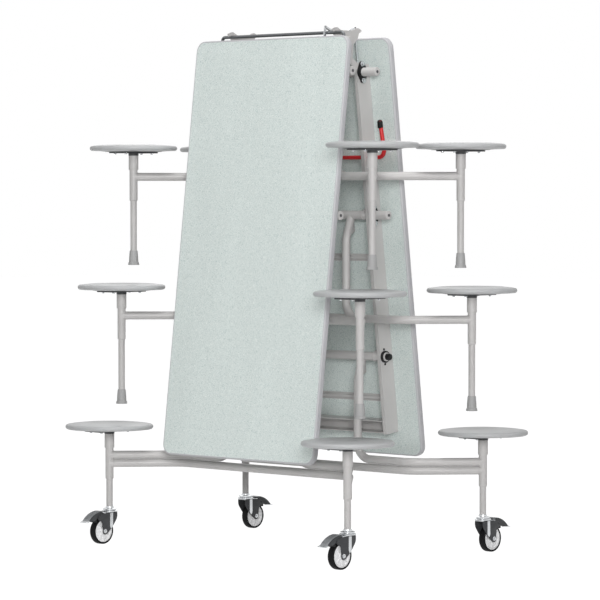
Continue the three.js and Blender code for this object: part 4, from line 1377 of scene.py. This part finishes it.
CAMERA_PLACE = Vector((-8.5107, -8.1943, 1.2818))
CAMERA_AZIMUTH = math.radians(-46.085)
CAMERA_PITCH = math.radians(1.841)
PHOTO_PIXELS = 600
FOCAL_PIXELS = 3253.8
SENSOR = 36.0
AXIS_PIXEL = 293.68
CLIP_END = 100.0
FLOOR_REACH = 30.0
FLOOR_GLOW = 1.18
FLOOR_GLOW_SHARE = 0.84
WORLD_LIGHT = 0.15
# Name, place, target, diameter and watts
LAMPS = (
    ("front", (-7.2, -7.4, 2.6), (0.0, 0.0, 0.9), 3.0, 620.0),
    ("top", (-1.2, -1.2, 7.0), (0.0, 0.0, 0.9), 4.0, 250.0),
    ("back", (4.5, 4.5, 4.0), (0.0, 0.0, 1.0), 3.5, 40.0),
)


def seen_directly(tree):
    """1 for what the camera, a reflection or glass sees, and 0 for light."""
    rays = put(tree, "ShaderNodeLightPath").outputs
    seen = calculate(tree, "MAXIMUM", rays["Is Camera Ray"], rays["Is Glossy Ray"])
    return calculate(tree, "MAXIMUM", seen, rays["Is Transmission Ray"])


def make_floor(scene):
    """A pale floor that takes shadows and looks nearly white."""
    bm = bmesh.new()
    bmesh.ops.create_grid(bm, x_segments=1, y_segments=1, size=FLOOR_REACH)
    mesh = bpy.data.meshes.new("floor")
    bm.to_mesh(mesh)
    bm.free()
    floor = bpy.data.objects.new("floor", mesh)
    scene.collection.objects.link(floor)
    material = bpy.data.materials.new("pale floor")
    material.use_nodes = True
    tree = material.node_tree
    tree.nodes.clear()
    matte = first(tree, "ShaderNodeBsdfDiffuse", {"Color": settings("colours").stage})
    glow = first(tree, "ShaderNodeEmission", {"Color": WHITE, "Strength": FLOOR_GLOW})
    share = calculate(tree, "MULTIPLY", seen_directly(tree), FLOOR_GLOW_SHARE)
    mixed = first(tree, "ShaderNodeMixShader", {0: share, 1: matte, 2: glow})
    put(tree, "ShaderNodeOutputMaterial", {"Surface": mixed})
    mesh.materials.append(material)


def make_world(scene):
    """Surroundings that look white and give a weak light from all sides."""
    world = bpy.data.worlds.new("studio")
    scene.world = world
    world.use_nodes = True
    tree = world.node_tree
    tree.nodes.clear()
    soft = first(tree, "ShaderNodeBackground", {"Color": WHITE, "Strength": WORLD_LIGHT})
    white = first(tree, "ShaderNodeBackground", {"Color": WHITE, "Strength": 1.0})
    mixed = first(tree, "ShaderNodeMixShader", {0: seen_directly(tree), 1: soft, 2: white})
    put(tree, "ShaderNodeOutputWorld", {"Surface": mixed})


def make_lamp(scene, name, place, target, size, power):
    """A round lamp that points at a target."""
    lamp = bpy.data.lights.new(name, "AREA")
    lamp.shape = "DISK"
    lamp.size = size
    lamp.energy = power
    holder = bpy.data.objects.new(name, lamp)
    holder.location = place
    holder.rotation_euler = (Vector(target) - Vector(place)).to_track_quat("-Z", "Y").to_euler()
    scene.collection.objects.link(holder)


def make_camera(scene):
    """The camera that was fitted to the photo."""
    lens = bpy.data.cameras.new("camera")
    lens.sensor_width = SENSOR
    lens.lens = SENSOR * FOCAL_PIXELS / PHOTO_PIXELS
    lens.shift_x = (PHOTO_PIXELS / 2 - AXIS_PIXEL) / PHOTO_PIXELS
    lens.clip_end = CLIP_END
    camera = bpy.data.objects.new("camera", lens)
    camera.location = CAMERA_PLACE
    camera.rotation_euler = (math.pi / 2 - CAMERA_PITCH, 0.0, CAMERA_AZIMUTH)
    scene.collection.objects.link(camera)
    scene.camera = camera


class TABLE_OT_stage(TableOperator, bpy.types.Operator):
    """A pale floor, soft studio light and the camera"""

    bl_idname = "table.make_stage"
    bl_label = "Stage"

    def make(self):
        scene = bpy.context.scene
        scene.view_settings.view_transform = "Standard"
        make_floor(scene)
        make_world(scene)
        for lamp in LAMPS:
            make_lamp(scene, *lamp)
        make_camera(scene)


OPERATORS = (
    TABLE_OT_tops,
    TABLE_OT_rails,
    TABLE_OT_stool_frames,
    TABLE_OT_seats,
    TABLE_OT_feet,
    TABLE_OT_casters,
    TABLE_OT_centre_hinge,
    TABLE_OT_links,
    TABLE_OT_release,
    TABLE_OT_stage,
)


class TABLE_PT_pieces(bpy.types.Panel):
    """Lists the table's pieces"""

    bl_idname = "TABLE_PT_pieces"
    bl_label = "Folding table"
    bl_space_type = "VIEW_3D"
    bl_region_type = "UI"
    bl_category = "Table"

    def draw(self, context):
        for operator in OPERATORS:
            self.layout.operator(operator.bl_idname)


CLASSES = (*SETTINGS.values(), *OPERATORS, TABLE_PT_pieces)


def register():
    for item in CLASSES:
        bpy.utils.register_class(item)
    for name, group in SETTINGS.items():
        setattr(bpy.types.Scene, name, PointerProperty(type=group))


def unregister():
    for name in SETTINGS:
        delattr(bpy.types.Scene, name)
    for item in reversed(CLASSES):
        bpy.utils.unregister_class(item)


def main():
    register()
    for operator in OPERATORS:
        group, name = operator.bl_idname.split(".")
        getattr(getattr(bpy.ops, group), name)()


if __name__ == "__main__":
    main()
